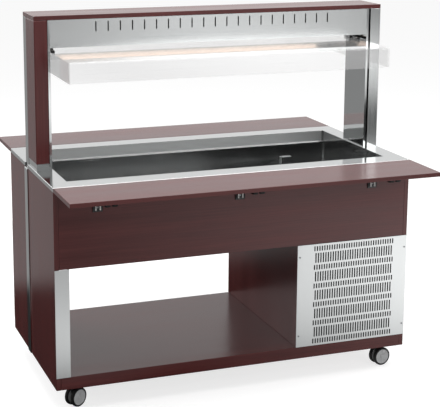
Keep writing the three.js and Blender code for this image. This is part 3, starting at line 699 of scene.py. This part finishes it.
def probe(back):
    """The sensor cover and the probe's bracket on the tub's back wall."""
    def on_wall(name, x, z, depth, gap):
        return block(name, (x[0] * MM, back - depth * MM, z[0] * MM),
                     (x[1] * MM, back - gap * MM, z[1] * MM))
    cover = on_wall("well_sensor_cover", (-458, -372), (778, 821), 1.6, 0.2)
    fillet(cover, 5 * MM, lambda a, b: runs(a, b, "Y"), 3)
    extra(cover, stainless("X", "drawn"), 0.5 * MM)
    shelf = on_wall("well_probe_bracket", (452, 494), (773.5, 775), 11, 0.3)
    stem = on_wall("stem", (444, 449), (746, 775), 7, 0.3)
    bracket = joined("well_probe_bracket", [shelf, stem])
    extra(bracket, stainless("X", "satin"), 0.4 * MM)


class SALADBAR_OT_well(bpy.types.Operator):
    """Draw the cold well with its pan ledge, rounded corners and strainer"""
    bl_idname = "saladbar.well"
    bl_label = "Cold well"

    def execute(self, context):
        wall = sizes().tub_wall
        low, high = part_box("well")
        low, high = low + Vector((wall, wall, wall)), high - Vector((wall, wall, 0))
        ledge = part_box("worktop")[1].z - sizes().ledge_drop
        drain = centre_of("drain_outlet")
        collar = drawn_well(low, high, ledge)
        tub = split_tub(collar, ledge, high.x)
        for piece in (collar, tub):
            modify(piece, "SOLIDIFY", thickness=wall, offset=1)
        hand_over(smooth(collar), stainless("X", "ground"), node="well")
        hand_over(smooth(tub), stainless("X", "drawn"), node="well", replaces=("well",))
        finer("drain_outlet", moulded("abs_grey"), 0.5 * MM)
        strainer(drain, low.z)
        probe(high.y - sizes().ledge_width)
        return {"FINISHED"}


def stand_proud(piece):
    """Lets the upright stand proud of the end panels, up to the worktop's underside."""
    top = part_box("worktop")[0].z - 0.5 * MM
    outer = max(abs(vertex.co.x) for vertex in piece.data.vertices)
    step = 3.5 * MM
    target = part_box("end_panel_right_front")[1].x + step
    for level in (top, top - 3 * MM):
        edit(piece, "VERT", everything, bpy.ops.mesh.bisect, plane_co=(0, 0, level), plane_no=UP)
    end = math.copysign(1, piece.data.vertices[0].co.x)
    shifted(piece, lambda co: co.z < top - MM and abs(co.x) > outer - 1 * MM,
            (end * (target - outer), 0, 0))


class SALADBAR_OT_posts(bpy.types.Operator):
    """Finish the uprights, the mirror-bright post covers and the corner stiles"""
    bl_idname = "saladbar.posts"
    bl_label = "Posts and stiles"

    def execute(self, context):
        for _, name in ENDS:
            finer("upright_" + name, stainless("Z", "polished"), 1.5 * MM, 3, shape=stand_proud)
            finer("post_cover_" + name, stainless("Z", "bright"), sizes().sheet_edge)
        for _, name in FACES:
            finer("stile_" + name, stainless("Z", "satin"), sizes().sheet_edge)
        return {"FINISHED"}


def baffle(name, side, low, high):
    """A black sheet behind the vents, with its lower edge folded in: painted shade, a dark sheet that stands in
    for the shade behind the vents.
    """
    ends = 90 * MM
    sheet = block(name, (low.x + ends, side * (high.y - 3.2 * MM), high.z - 52 * MM),
                  (high.x - ends, side * (high.y - 4.2 * MM), high.z - 3 * MM))
    extruded(sheet, "FACE", looks_down, (0, -8 * side * MM, -5 * MM))
    extra(sheet, moulded("vent_shade_black"), 0.3 * MM)


def lamp():
    """The tube, with an aluminium cap and a white socket at each end."""
    low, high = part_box("lamp")
    height = low.z + 18 * MM
    half_tube = 566 * MM
    cap_profile = ((0, 0), (12.9, 0), (13.2, 0.6), (13.2, 10), (12.4, 12.5), (4, 13), (3, 15), (0, 15))
    tube = round_edges(drum("lamp_tube", 12.8 * MM, 2 * half_tube), 2 * MM)
    hand_over(smooth(moved(tube, turned_to((0, 0, height), (1, 0, 0)))), lamp_glass(), node="lamp",
              replaces=("lamp",))
    for side, name in ENDS:
        cap = lathe("lamp_cap_" + name, cap_profile, 32)
        moved(cap, turned_to((side * (half_tube - 4 * MM), 0, height), (side, 0, 0)))
        extra(cap, turned_aluminium())
        socket = block("lamp_socket_" + name, (side * high.x, low.y, low.z),
                       (side * (high.x - 32 * MM), high.y, high.z))
        fillet(socket, 12 * MM, lambda a, b: runs(a, b, "X") and a.z < low.z + MM, 5)
        dished(socket, Vector((-side, 0, 0)), ((2.5 * MM, 0), (0.5 * MM, 1.5 * MM)))
        extra(socket, moulded("pbt_white"), 0.8 * MM)


class SALADBAR_OT_canopy(bpy.types.Operator):
    """Fold the lamp housing with its round-ended vents, and hang the lamp in its sockets"""
    bl_idname = "saladbar.canopy"
    bl_label = "Canopy"

    def execute(self, context):
        low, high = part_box("hood_housing")

        def at_vent(a, b):
            """The short edges through the sheet, at the vents' corners."""
            through = runs(a, b, "Y") and (b - a).length < 3 * MM
            return through and low.z + 30 * MM < a.z < high.z - 2 * MM and abs(a.x) < high.x - 100 * MM

        def vent_ends(piece):
            fillet(piece, 2.3 * MM, at_vent, 3)
        finer("hood_housing", stainless("X", "brushed"), sizes().sheet_edge, angle=50, shape=vent_ends)
        for side, name in FACES:
            baffle("hood_baffle_" + name, side, low, high)
        lamp()
        return {"FINISHED"}


class SALADBAR_OT_guard(bpy.types.Operator):
    """Bend the acrylic guard and finish the bars it tilts on"""
    bl_idname = "saladbar.guard"
    bl_label = "Guard"

    def execute(self, context):
        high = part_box("guard")[1]
        sheet = 5 * MM

        def bent(piece):
            for inset in (0, sheet):
                fillet(piece, sizes().guard_bend - inset, lambda a, b: runs(a, b, "X")
                       and near(a.z, high.z - inset) and near(abs(a.y), high.y - inset), 6)
        finer("guard", acrylic(), 0.6 * MM, angle=50, shape=bent)
        for _, name in ENDS:
            finer("guard_bar_" + name, moulded("powder_coat_black"), 1.0 * MM)
        for side, name in ENDS:
            bar = "guard_bar_" + name
            inner = min(abs(corner.x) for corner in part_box(bar))
            spot = (side * (inner - 0.1 * MM), 0, centre_of(bar).z)
            fasteners("guard_screw_" + name, [spot], (-side, 0, 0), 4.5 * MM, "guard")
        return {"FINISHED"}


def pads(name, x, y, z, radius, wanted, segments):
    """Two like pads in one piece, with some edges rounded: x is (middle, distance from it, half width)."""
    middle, shift, half = x
    pair = [block("pad", (centre - half, y[0], z[0]), (centre + half, y[1], z[1]))
            for centre in (middle - shift, middle + shift)]
    return joined(name, [fillet(pad, radius, wanted, segments) for pad in pair])


def console(place, outwards):
    """The wall plate and the arm, with a folded liner and two runners between the plate's cheeks.
    It gives the places of the plate's two screws."""
    finer("console_plate_" + place, moulded("powder_coat_black"), 0.5 * MM)
    finer("console_arm_" + place, moulded("powder_coat_black"), 0.6 * MM)
    low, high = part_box("console_plate_" + place)
    middle = centre_of("console_plate_" + place).x
    face = (low.y if outwards > 0 else high.y) + outwards * 2.1 * MM
    bottom, top = low.z + 6 * MM, low.z + 58 * MM
    cheek = 12 * MM
    depth = 9 * MM
    toe = 3 * MM
    liner = block("console_liner_" + place, (middle - cheek, face, bottom),
                  (middle + cheek, face + outwards * depth, top))
    opened(liner, lambda centre, normal: abs(normal.z) > 0.5 or normal.y * outwards > 0.5)
    shifted(liner, lambda co: co.z < bottom + MM and abs(co.y - face) > MM,
            (0, -outwards * (depth - toe), 0))
    modify(liner, "SOLIDIFY", thickness=1.2 * MM, offset=-1)
    extra(liner, moulded("powder_coat_black"), 0.3 * MM)
    runners = pads("console_runners_" + place, (middle, 8.6 * MM, 1.9 * MM),
                   (face + outwards * 1.2 * MM, face + outwards * 9.5 * MM), (bottom + MM, top - MM),
                   2 * MM, lambda a, b: runs(a, b, "X"), 3)
    extra(runners, moulded("nylon_white"), 0.6 * MM)
    return [(middle, face + outwards * 1.3 * MM, bottom + rise) for rise in (12 * MM, 42 * MM)]


def buffers(place, body, outwards):
    """Two rubber buffers under the arm's free end."""
    low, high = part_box("console_arm_" + place)
    end = low.y if outwards < 0 else high.y
    rubber = pads("console_buffers_" + place, ((low.x + high.x) / 2, 13.2 * MM, 8.2 * MM),
                  (end - outwards * 1.2 * MM, end - outwards * 16 * MM),
                  (low.z + 0.3 * MM, high.z - 2.3 * MM),
                  3 * MM, lambda a, b: runs(a, b, "X") and a.z < low.z + MM, 4)
    extra(rubber, moulded("tread_rubber"), 0.8 * MM, body)


class SALADBAR_OT_tray_slides(bpy.types.Operator):
    """Finish both tray slides with their folding consoles"""
    bl_idname = "saladbar.tray_slides"
    bl_label = "Tray slides"

    def execute(self, context):
        for outwards, side in FACES:
            finer("tray_" + side, laminate("X"), sizes().board_edge)
            spots = []
            for place in ("left", "centre", "right"):
                spots += console(f"{side}_{place}", outwards)
                buffers(f"{side}_{place}", "tray_" + side, outwards)
            fasteners("console_screws_" + side, spots, (0, outwards, 0), 3.6 * MM)
        return {"FINISHED"}


def tyre_shape():
    """The tread with its round shoulders, its axle along Z."""
    radius, half = sizes().wheel_radius / MM, sizes().wheel_width / MM / 2
    bore = radius - sizes().tyre_depth / MM
    shoulder = 4.5
    edge = [(bore, half - 0.8), (radius - shoulder - 1, half - 0.2)]
    for turn in (math.radians(angle) for angle in (0, 22.5, 45, 67.5, 90)):
        edge.append((radius - shoulder * (1 - math.sin(turn)), half - shoulder * (1 - math.cos(turn))))
    profile = [(r, -h) for r, h in edge] + edge[::-1]
    return smooth(lathe("tyre", profile, 64, ring=True), 40)


def disc_shape():
    """The dished wheel disc with a hub cap and eight ribs, the same on both faces."""
    radius = (sizes().wheel_radius - sizes().tyre_depth) / MM
    half = sizes().wheel_width / MM / 2
    face = [(0, half - 0.9), (5.2, half - 0.9), (6.6, half - 1.5), (7.2, half - 4.0),
            (radius - 5.0, half - 3.4), (radius - 2.6, half - 1.2), (radius - 0.1, half - 1.0)]
    disc = lathe("disc", face + [(r, -h) for r, h in reversed(face)])
    rib_half = (half - 2.2) * MM
    ribs = []
    for index in range(8):
        rib = block("rib", (7 * MM, -0.8 * MM, -rib_half), ((radius - 3.6) * MM, 0.8 * MM, rib_half))
        ribs.append(moved(rib, Matrix.Rotation(math.tau * index / 8, 4, "Z")))
    return smooth(joined("disc", [disc, *ribs]), 40)


class SALADBAR_OT_casters(bpy.types.Operator):
    """Build the twin-wheel casters with their brake pedals"""
    bl_idname = "saladbar.casters"
    bl_label = "Casters"

    def execute(self, context):
        tyre, disc = tyre_shape(), disc_shape()
        half_track = (sizes().wheel_gap + sizes().wheel_width) / 2
        bolt = 19 * MM
        for place in ("front_left", "front_right", "back_left", "back_right"):
            plate = "caster_plate_" + place
            finer(plate, zinc_plate(), 0.5 * MM)
            finer("caster_fork_" + place, moulded("abs_black"), 1.2 * MM, 3)
            joint = JOINTS[f"wheels_{place}_roll"]
            body = "wheels_" + place
            axis = Vector(joint["axis"])
            for hand, side in ((-1, "inner"), (1, "outer")):
                spot = turned_to(Vector(joint["pos_m"]) + axis * hand * half_track, axis * hand)
                ring = twin(tyre, f"caster_tyre_{place}_{side}", spot)
                hand_over(ring, moulded("tread_rubber"), body=body,
                          replaces=("caster_wheels_" + place,))
                face = twin(disc, f"caster_disc_{place}_{side}", spot)
                hand_over(face, moulded("abs_grey"), body=body)
            middle = centre_of(plate)
            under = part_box(plate)[1].z - 3.4 * MM
            spots = [(middle.x + x, middle.y + y, under) for x in (-bolt, bolt) for y in (-bolt, bolt)]
            fasteners("caster_bolts_" + place, spots, (0, 0, -1), 4 * MM)
        for piece in (tyre, disc):
            bpy.data.objects.remove(piece)
        for place in ("back_left", "back_right"):
            finer("caster_brake_" + place, moulded("abs_black"), 0.8 * MM, 3)
        return {"FINISHED"}


def slot_strip(low, high, left, half_pitch, steps, margin):
    """The plate below the slots: one face for each slot or bar, with a wide one at each end."""
    bpy.ops.mesh.primitive_grid_add(x_subdivisions=steps + 2, y_subdivisions=1, size=1)
    plate = bpy.context.object
    plate.name = "grille_plate"
    columns = sorted({round(vertex.co.x, 5) for vertex in plate.data.vertices})
    edges = [low.x, *(left + i * half_pitch for i in range(steps + 1)), high.x]
    for vertex in plate.data.vertices:
        x = edges[columns.index(round(vertex.co.x, 5))]
        vertex.co = (x, low.y, low.z + (margin if vertex.co.y > 0 else 0))
    return plate


def punch_slots(plate, levels, left, half_pitch, steps, floor):
    """Takes out the faces where slots are: short rows start with a slot, long rows with a bar."""
    rows = []
    z = floor
    for index, rise in enumerate(levels):
        if index % 2:
            rows.append((z, z + rise, len(rows) % 2))
        z += rise

    def is_slot(centre, normal):
        column = math.floor((centre.x - left) / half_pitch + 1e-6)
        in_row = any(a < centre.z < b and column % 2 == shift for a, b, shift in rows)
        return in_row and 0 <= column < steps
    opened(plate, is_slot)
    edit(plate, "FACE", everything, bpy.ops.mesh.normals_make_consistent, inside=False)


class SALADBAR_OT_grille(bpy.types.Operator):
    """Punch the front grille with its fine slots"""
    bl_idname = "saladbar.grille"
    bl_label = "Front grille"

    def execute(self, context):
        low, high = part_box("grille_front")
        half_pitch = sizes().slot_pitch / 2
        steps = 2 * sizes().row_slots - 1
        # The slots stand a little to the right of the panel's middle.
        left = (low.x + high.x) / 2 + 5 * MM - steps * half_pitch / 2
        levels = []
        for row in range(sizes().slot_rows):
            levels += [sizes().short_slot * (1 + row % 2), sizes().slot_bar]
        margin = (high.z - low.z - sum(levels[:-1])) / 2
        levels = [margin, *levels[:-1], margin]
        plate = slot_strip(low, high, left, half_pitch, steps, margin)
        for rise in levels[1:]:
            top = max(vertex.co.z for vertex in plate.data.vertices)
            extruded(plate, "VERT", lambda co: co.z > top - 0.01 * MM, (0, 0, rise))
        punch_slots(plate, levels, left, half_pitch, steps, low.z)
        smooth(modify(plate, "SOLIDIFY", thickness=sizes().grille_sheet, offset=-1))
        hand_over(plate, stainless("Z", "satin"), node="grille_front", replaces=("grille_front",))
        panel_screws("grille_screws", "grille_front", -1)
        return {"FINISHED"}


def louvre_hood():
    """One pressed hood, open below: its louvre's lower edge is at the origin."""
    hood = block("hood", (-52 * MM, -0.1 * MM, 1 * MM), (52 * MM, 5.5 * MM, 12 * MM))
    fillet(hood, 4.5 * MM, lambda a, b: min(a.y, b.y) > MM and max(a.z, b.z) >= 2 * MM, 3)
    opened(hood, lambda centre, normal: normal.z < -0.9 or normal.y < -0.9)
    return modify(hood, "SOLIDIFY", thickness=0.9 * MM, offset=-1)


def filter_mat(low, high):
    """A black foam dust filter inside the panel, behind the louvres, with its edge pressed thin."""
    side = 40 * MM
    mat = block("service_filter", (low.x + side, low.y - 8 * MM, low.z + 34 * MM),
                (high.x - side, low.y - 2 * MM, low.z + 282 * MM))
    dished(mat, Vector((0, -1, 0)), ((12 * MM, -3 * MM),))
    extra(mat, moulded("filter_foam"), 1 * MM)


class SALADBAR_OT_service_panel(bpy.types.Operator):
    """Finish the service panel at the back, with pressed hoods over its louvres and a filter inside"""
    bl_idname = "saladbar.service_panel"
    bl_label = "Service panel"

    def execute(self, context):
        low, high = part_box("service_panel")
        finer("service_panel", stainless("Z", "satin"), 0.3 * MM)
        hood = louvre_hood()
        middle = (low.x + high.x) / 2
        hoods = []
        for row in range(8):
            for column in (-1, 0, 1):
                spot = (middle + column * 125 * MM, high.y, low.z + (60 + 28 * row) * MM)
                hoods.append(twin(hood, "louvre", Matrix.Translation(spot)))
        bpy.data.objects.remove(hood)
        extra(joined("service_louvres", hoods), stainless("Z", "satin"))
        filter_mat(low, high)
        panel_screws("service_screws", "service_panel", 1)
        return {"FINISHED"}


def digits(middle, face, level):
    """A temperature in seven-segment figures, read from behind the bar, so they run towards -X."""
    segments = {"a": (0, 9), "b": (4.4, 4.5), "c": (4.4, -4.5), "d": (0, -9), "e": (-4.4, -4.5),
                "f": (-4.4, 4.5), "g": (0, 0)}
    bars = []
    for shift, lit in ((-9, "bcfg"), (9, "abcdef")):
        for key in lit:
            right, up = segments[key]
            x, z = middle - (shift + right) * MM, level + up * MM
            width, height = (1.5, 7.2) if right else (6.6, 1.5)
            bar = block("bar", (x - width / 2 * MM, face, z - height / 2 * MM),
                        (x + width / 2 * MM, face + 0.1 * MM, z + height / 2 * MM))
            bars.append(fillet(bar, 0.7 * MM, lambda a, b: runs(a, b, "Y"), 1))
    point = drum("point", 0.9 * MM, 0.1 * MM, vertices=12)
    bars.append(moved(point, turned_to((middle, face + 0.05 * MM, level - 9 * MM), (0, 1, 0))))
    hand_over(joined("display_digits", bars), digit_glow(), body="cabinet")


def keys(left, face, level):
    """Three round keys under the display."""
    keys = []
    for x in (30 * MM, 46 * MM, 62 * MM):
        key = drum("key", 3.4 * MM, 2 * MM, vertices=24)
        dished(key, UP, ((0.6 * MM, -0.3 * MM), (0.6 * MM, 0.25 * MM)))
        keys.append(moved(key, turned_to((left + x, face + 0.4 * MM, level), (0, 1, 0))))
    extra(joined("thermostat_keys", keys), moulded("silicone_grey"))


def marks(x, face, level):
    """A bar for on above a ring for off, beside the switch."""
    half = 0.5 * MM
    bar = block("bar", (x - half, face - 0.05 * MM, level + 7 * MM),
                (x + half, face + 0.15 * MM, level + 13 * MM))
    ring = lathe("ring", ((2.0, -0.1), (3.0, -0.1), (3.0, 0.15), (2.0, 0.15)), 24, ring=True)
    moved(ring, turned_to((x, face, level - 10 * MM), (0, 1, 0)))
    hand_over(joined("switch_marks", [bar, ring]), moulded("print_white"), body="cabinet")


class SALADBAR_OT_controls(bpy.types.Operator):
    """Finish the thermostat and the power switch at the back"""
    bl_idname = "saladbar.controls"
    bl_label = "Controls"

    def execute(self, context):
        finer("thermostat", moulded("abs_black"), 0.6 * MM)
        finer("power_switch", moulded("abs_gloss_black"), 0.5 * MM)
        low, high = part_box("thermostat")
        level = (low.z + high.z) / 2
        half_window = 13.7 * MM
        window = block("display_window", (low.x + 14.3 * MM, high.y - 0.9 * MM, level - half_window),
                       (low.x + 78.7 * MM, high.y - 0.2 * MM, level + half_window))
        extra(window, moulded("smoked_acrylic"), 0.3 * MM)
        digits(low.x + 46 * MM, high.y - 0.15 * MM, level)
        keys(low.x, high.y, low.z + 9 * MM)
        marks(high.x - 10 * MM, high.y, level)
        return {"FINISHED"}


class SALADBAR_OT_cooling_unit(bpy.types.Operator):
    """Finish the compressor, the finned condenser and its fan behind the grille"""
    bl_idname = "saladbar.cooling_unit"
    bl_label = "Cooling unit"

    def execute(self, context):
        finer("compressor", moulded("powder_coat_black"), 1.5 * MM, 3)
        finer("condenser", fin_stack(), 0.6 * MM)
        finer("fan", moulded("abs_black"), 0.6 * MM)
        return {"FINISHED"}


# ---- Stage ----
# What glossy rays find on the floor, in metres: (middle, reach, strength) of each pool of light or,
# where the strength is negative, of the shade of a flag.
FLOOR_POOLS = (
    ((2.6, -1.5), (2.9, 3.6), 2.5),
    ((4.1, -10.7), (2.1, 6.0), 2.5),
    ((0.7, -6.6), (1.3, 3.4), 1.3),
    ((-0.5, -1.2), (0.6, 0.7), 1.4),
    ((3.1, -4.3), (1.1, 1.6), -2.2),
)


def camera(scene):
    """A long lens from the front left, above the canopy. Its place and lens come from matched points."""
    picture = (440, 407)
    axis_pixel = (184.2, 130.0)
    focal_pixels = 1272.7
    eye = (-1.7741, -4.7029, 1.9842)
    azimuth, elevation, roll = (math.radians(a) for a in (-19.647, 11.376, 0.138))
    data = bpy.data.cameras.new("camera")
    data.sensor_width = 36
    data.lens = focal_pixels / picture[0] * data.sensor_width
    data.shift_x = (picture[0] / 2 - axis_pixel[0]) / picture[0]
    data.shift_y = (axis_pixel[1] - picture[1] / 2) / picture[0]
    camera = bpy.data.objects.new("camera", data)
    scene.collection.objects.link(camera)
    camera.matrix_world = Matrix.Translation(eye)
    for turn, axis in ((azimuth, "Z"), (math.pi / 2 - elevation, "X"), (roll, "Z")):
        camera.matrix_world @= Matrix.Rotation(turn, 4, axis)
    scene.camera = camera


def seen_plainly(tree):
    """The light path node, and 1 for rays that come from the camera or through glass."""
    rays = add_node(tree, "LightPath")
    return rays, add_node(tree, "Math", {"operation": "MAXIMUM"},
                          {0: (rays, "Is Camera Ray"), 1: (rays, "Is Transmission Ray")})


def floor():
    """White to the camera, with the object's shadow. Metal and gloss see on it a painted shadow close to the
    bar, paler further off, bright in the painted pools of light and dark in the painted shade of the flag."""
    bpy.ops.mesh.primitive_circle_add(vertices=128, radius=40, fill_type="NGON")
    ground = bpy.context.object
    ground.name = "studio_floor"
    ground.data.materials.append(material("studio_floor", floor_paint))


def floor_paint(tree):
    """Pale paint, lifted to white for the camera, and the painted light and shade that glossy rays find."""
    place = add_node(tree, "TexCoord")
    # The painted shadow under the bar, which glossy rays see, is an ellipse, 2.5 times as long as it is deep.
    oval = add_node(tree, "Mapping", {"Location": (0, -0.2, 0), "Scale": (0.4, 1, 1)},
                    {"Vector": (place, "Object")})
    away = add_node(tree, "VectorMath", {"operation": "LENGTH"}, {"Vector": oval})
    level = add_node(tree, "MapRange", {**EASED, **over(0.03, 0.34, 0.9, 1.25)},
                     {"Value": (away, "Value")})
    for (x, y), (reach_x, reach_y), strength in FLOOR_POOLS:
        pool = add_node(tree, "Mapping", {
            "Location": (-x / reach_x, -y / reach_y, 0), "Scale": (1 / reach_x, 1 / reach_y, 1),
        }, {"Vector": (place, "Object")})
        fade = add_node(tree, "TexGradient", {"gradient_type": "SPHERICAL"},
                        {"Vector": pool})
        level = add_node(tree, "Math", {"operation": "MULTIPLY_ADD", 1: strength},
                         {0: (fade, "Fac"), 2: level})
    level = add_node(tree, "Math", {"operation": "MAXIMUM", 1: 0.02}, {0: level})
    rays, seen = seen_plainly(tree)
    white = add_node(tree, "Math", {"operation": "MULTIPLY", 1: 0.74}, {0: seen})
    paint = add_node(tree, "BsdfDiffuse", {"Color": tint("floor")})
    lift = add_node(tree, "Emission", {}, {"Strength": white})
    pale = add_node(tree, "AddShader", {}, {0: paint, 1: lift})
    mirrored = add_node(tree, "Emission", {}, {"Strength": level})
    return add_node(tree, "MixShader", {}, {
        0: (rays, "Is Glossy Ray"), 1: pale, 2: mirrored})


def sky(scene):
    """White all round to the camera and through glass, and a softer level as light. Metal and gloss
    see it nearly white behind the bar and dimmer in front, as in a studio with a white backdrop."""
    world = bpy.data.worlds.new("studio_sky")
    world.use_nodes = True
    scene.world = world
    tree = world.node_tree
    tree.nodes.clear()
    rays, seen = seen_plainly(tree)
    level = add_node(tree, "MapRange", {"To Min": studio().sky, "To Max": 1.0},
                     {"Value": seen})
    way = add_node(tree, "TexCoord")
    across = add_node(tree, "SeparateXYZ", {}, {"Vector": (way, "Object")})
    mirrored = add_node(tree, "MapRange", {**EASED, **over(0.4, 0.92, -0.5, 0.5)},
                        {"Value": (across, "Y")})
    strength = add_node(tree, "Mix", {}, {
        0: (rays, "Is Glossy Ray"), 2: level, 3: mirrored})
    light = add_node(tree, "Background", {"Color": (1, 1, 1, 1)}, {"Strength": strength})
    add_node(tree, "OutputWorld", {}, {"Surface": light})


def lights(scene):
    """Three large soft lights: overhead, at the front right and at the back left."""
    for name, place, target, size, watts in (
        ("soft_light_top", (0.3, -0.8, 4.2), (0, 0, 0.9), (4.5, 3.0), studio().top_light),
        ("soft_light_front", (2.2, -4.6, 2.6), (0.3, 0, 0.8), (2.4, 2.0), studio().side_light),
        ("soft_light_back", (-3.0, 3.2, 2.2), (0, 0, 0.6), (2.4, 2.0), studio().back_light),
    ):
        data = bpy.data.lights.new(name, "AREA")
        data.shape = "RECTANGLE"
        data.size, data.size_y = size
        data.energy = watts
        light = bpy.data.objects.new(name, data)
        scene.collection.objects.link(light)
        aim = Vector(place) - Vector(target)
        light.matrix_world = Matrix.Translation(place) @ aim.to_track_quat("Z", "Y").to_matrix().to_4x4()
        light.visible_camera = False


class SALADBAR_OT_stage(bpy.types.Operator):
    """Set the camera, the soft light and the pale floor"""
    bl_idname = "saladbar.stage"
    bl_label = "Stage"

    def execute(self, context):
        camera(context.scene)
        floor()
        sky(context.scene)
        lights(context.scene)
        context.scene.view_settings.view_transform = "Standard"
        return {"FINISHED"}


PIECE_OPERATORS = (
    SALADBAR_OT_boards, SALADBAR_OT_worktop, SALADBAR_OT_well, SALADBAR_OT_posts, SALADBAR_OT_canopy,
    SALADBAR_OT_guard, SALADBAR_OT_tray_slides, SALADBAR_OT_casters, SALADBAR_OT_grille,
    SALADBAR_OT_service_panel, SALADBAR_OT_controls, SALADBAR_OT_cooling_unit, SALADBAR_OT_stage,
)
SETTINGS = (
    ("salad_bar_colours", SaladBarColours),
    ("salad_bar_sizes", SaladBarSizes),
    ("salad_bar_studio", SaladBarStudio),
)


class SALADBAR_PT_panel(bpy.types.Panel):
    """Lists the salad bar's operators and settings"""
    bl_idname = "SALADBAR_PT_panel"
    bl_label = "Salad bar"
    bl_space_type = "VIEW_3D"
    bl_region_type = "UI"
    bl_category = "Salad bar"

    def draw(self, context):
        for operator in PIECE_OPERATORS:
            self.layout.operator(operator.bl_idname)
        for name, group in SETTINGS:
            box = self.layout.box()
            for key in group.__annotations__:
                box.prop(getattr(context.scene, name), key)


def register():
    for name, group in SETTINGS:
        bpy.utils.register_class(group)
        setattr(bpy.types.Scene, name, PointerProperty(type=group))
    for operator in PIECE_OPERATORS:
        bpy.utils.register_class(operator)
    bpy.utils.register_class(SALADBAR_PT_panel)


def unregister():
    bpy.utils.unregister_class(SALADBAR_PT_panel)
    for operator in reversed(PIECE_OPERATORS):
        bpy.utils.unregister_class(operator)
    for name, group in reversed(SETTINGS):
        delattr(bpy.types.Scene, name)
        bpy.utils.unregister_class(group)


def main():
    register()
    for operator in PIECE_OPERATORS:
        group, name = operator.bl_idname.split(".")
        getattr(getattr(bpy.ops, group), name)()


if __name__ == "__main__":
    main()
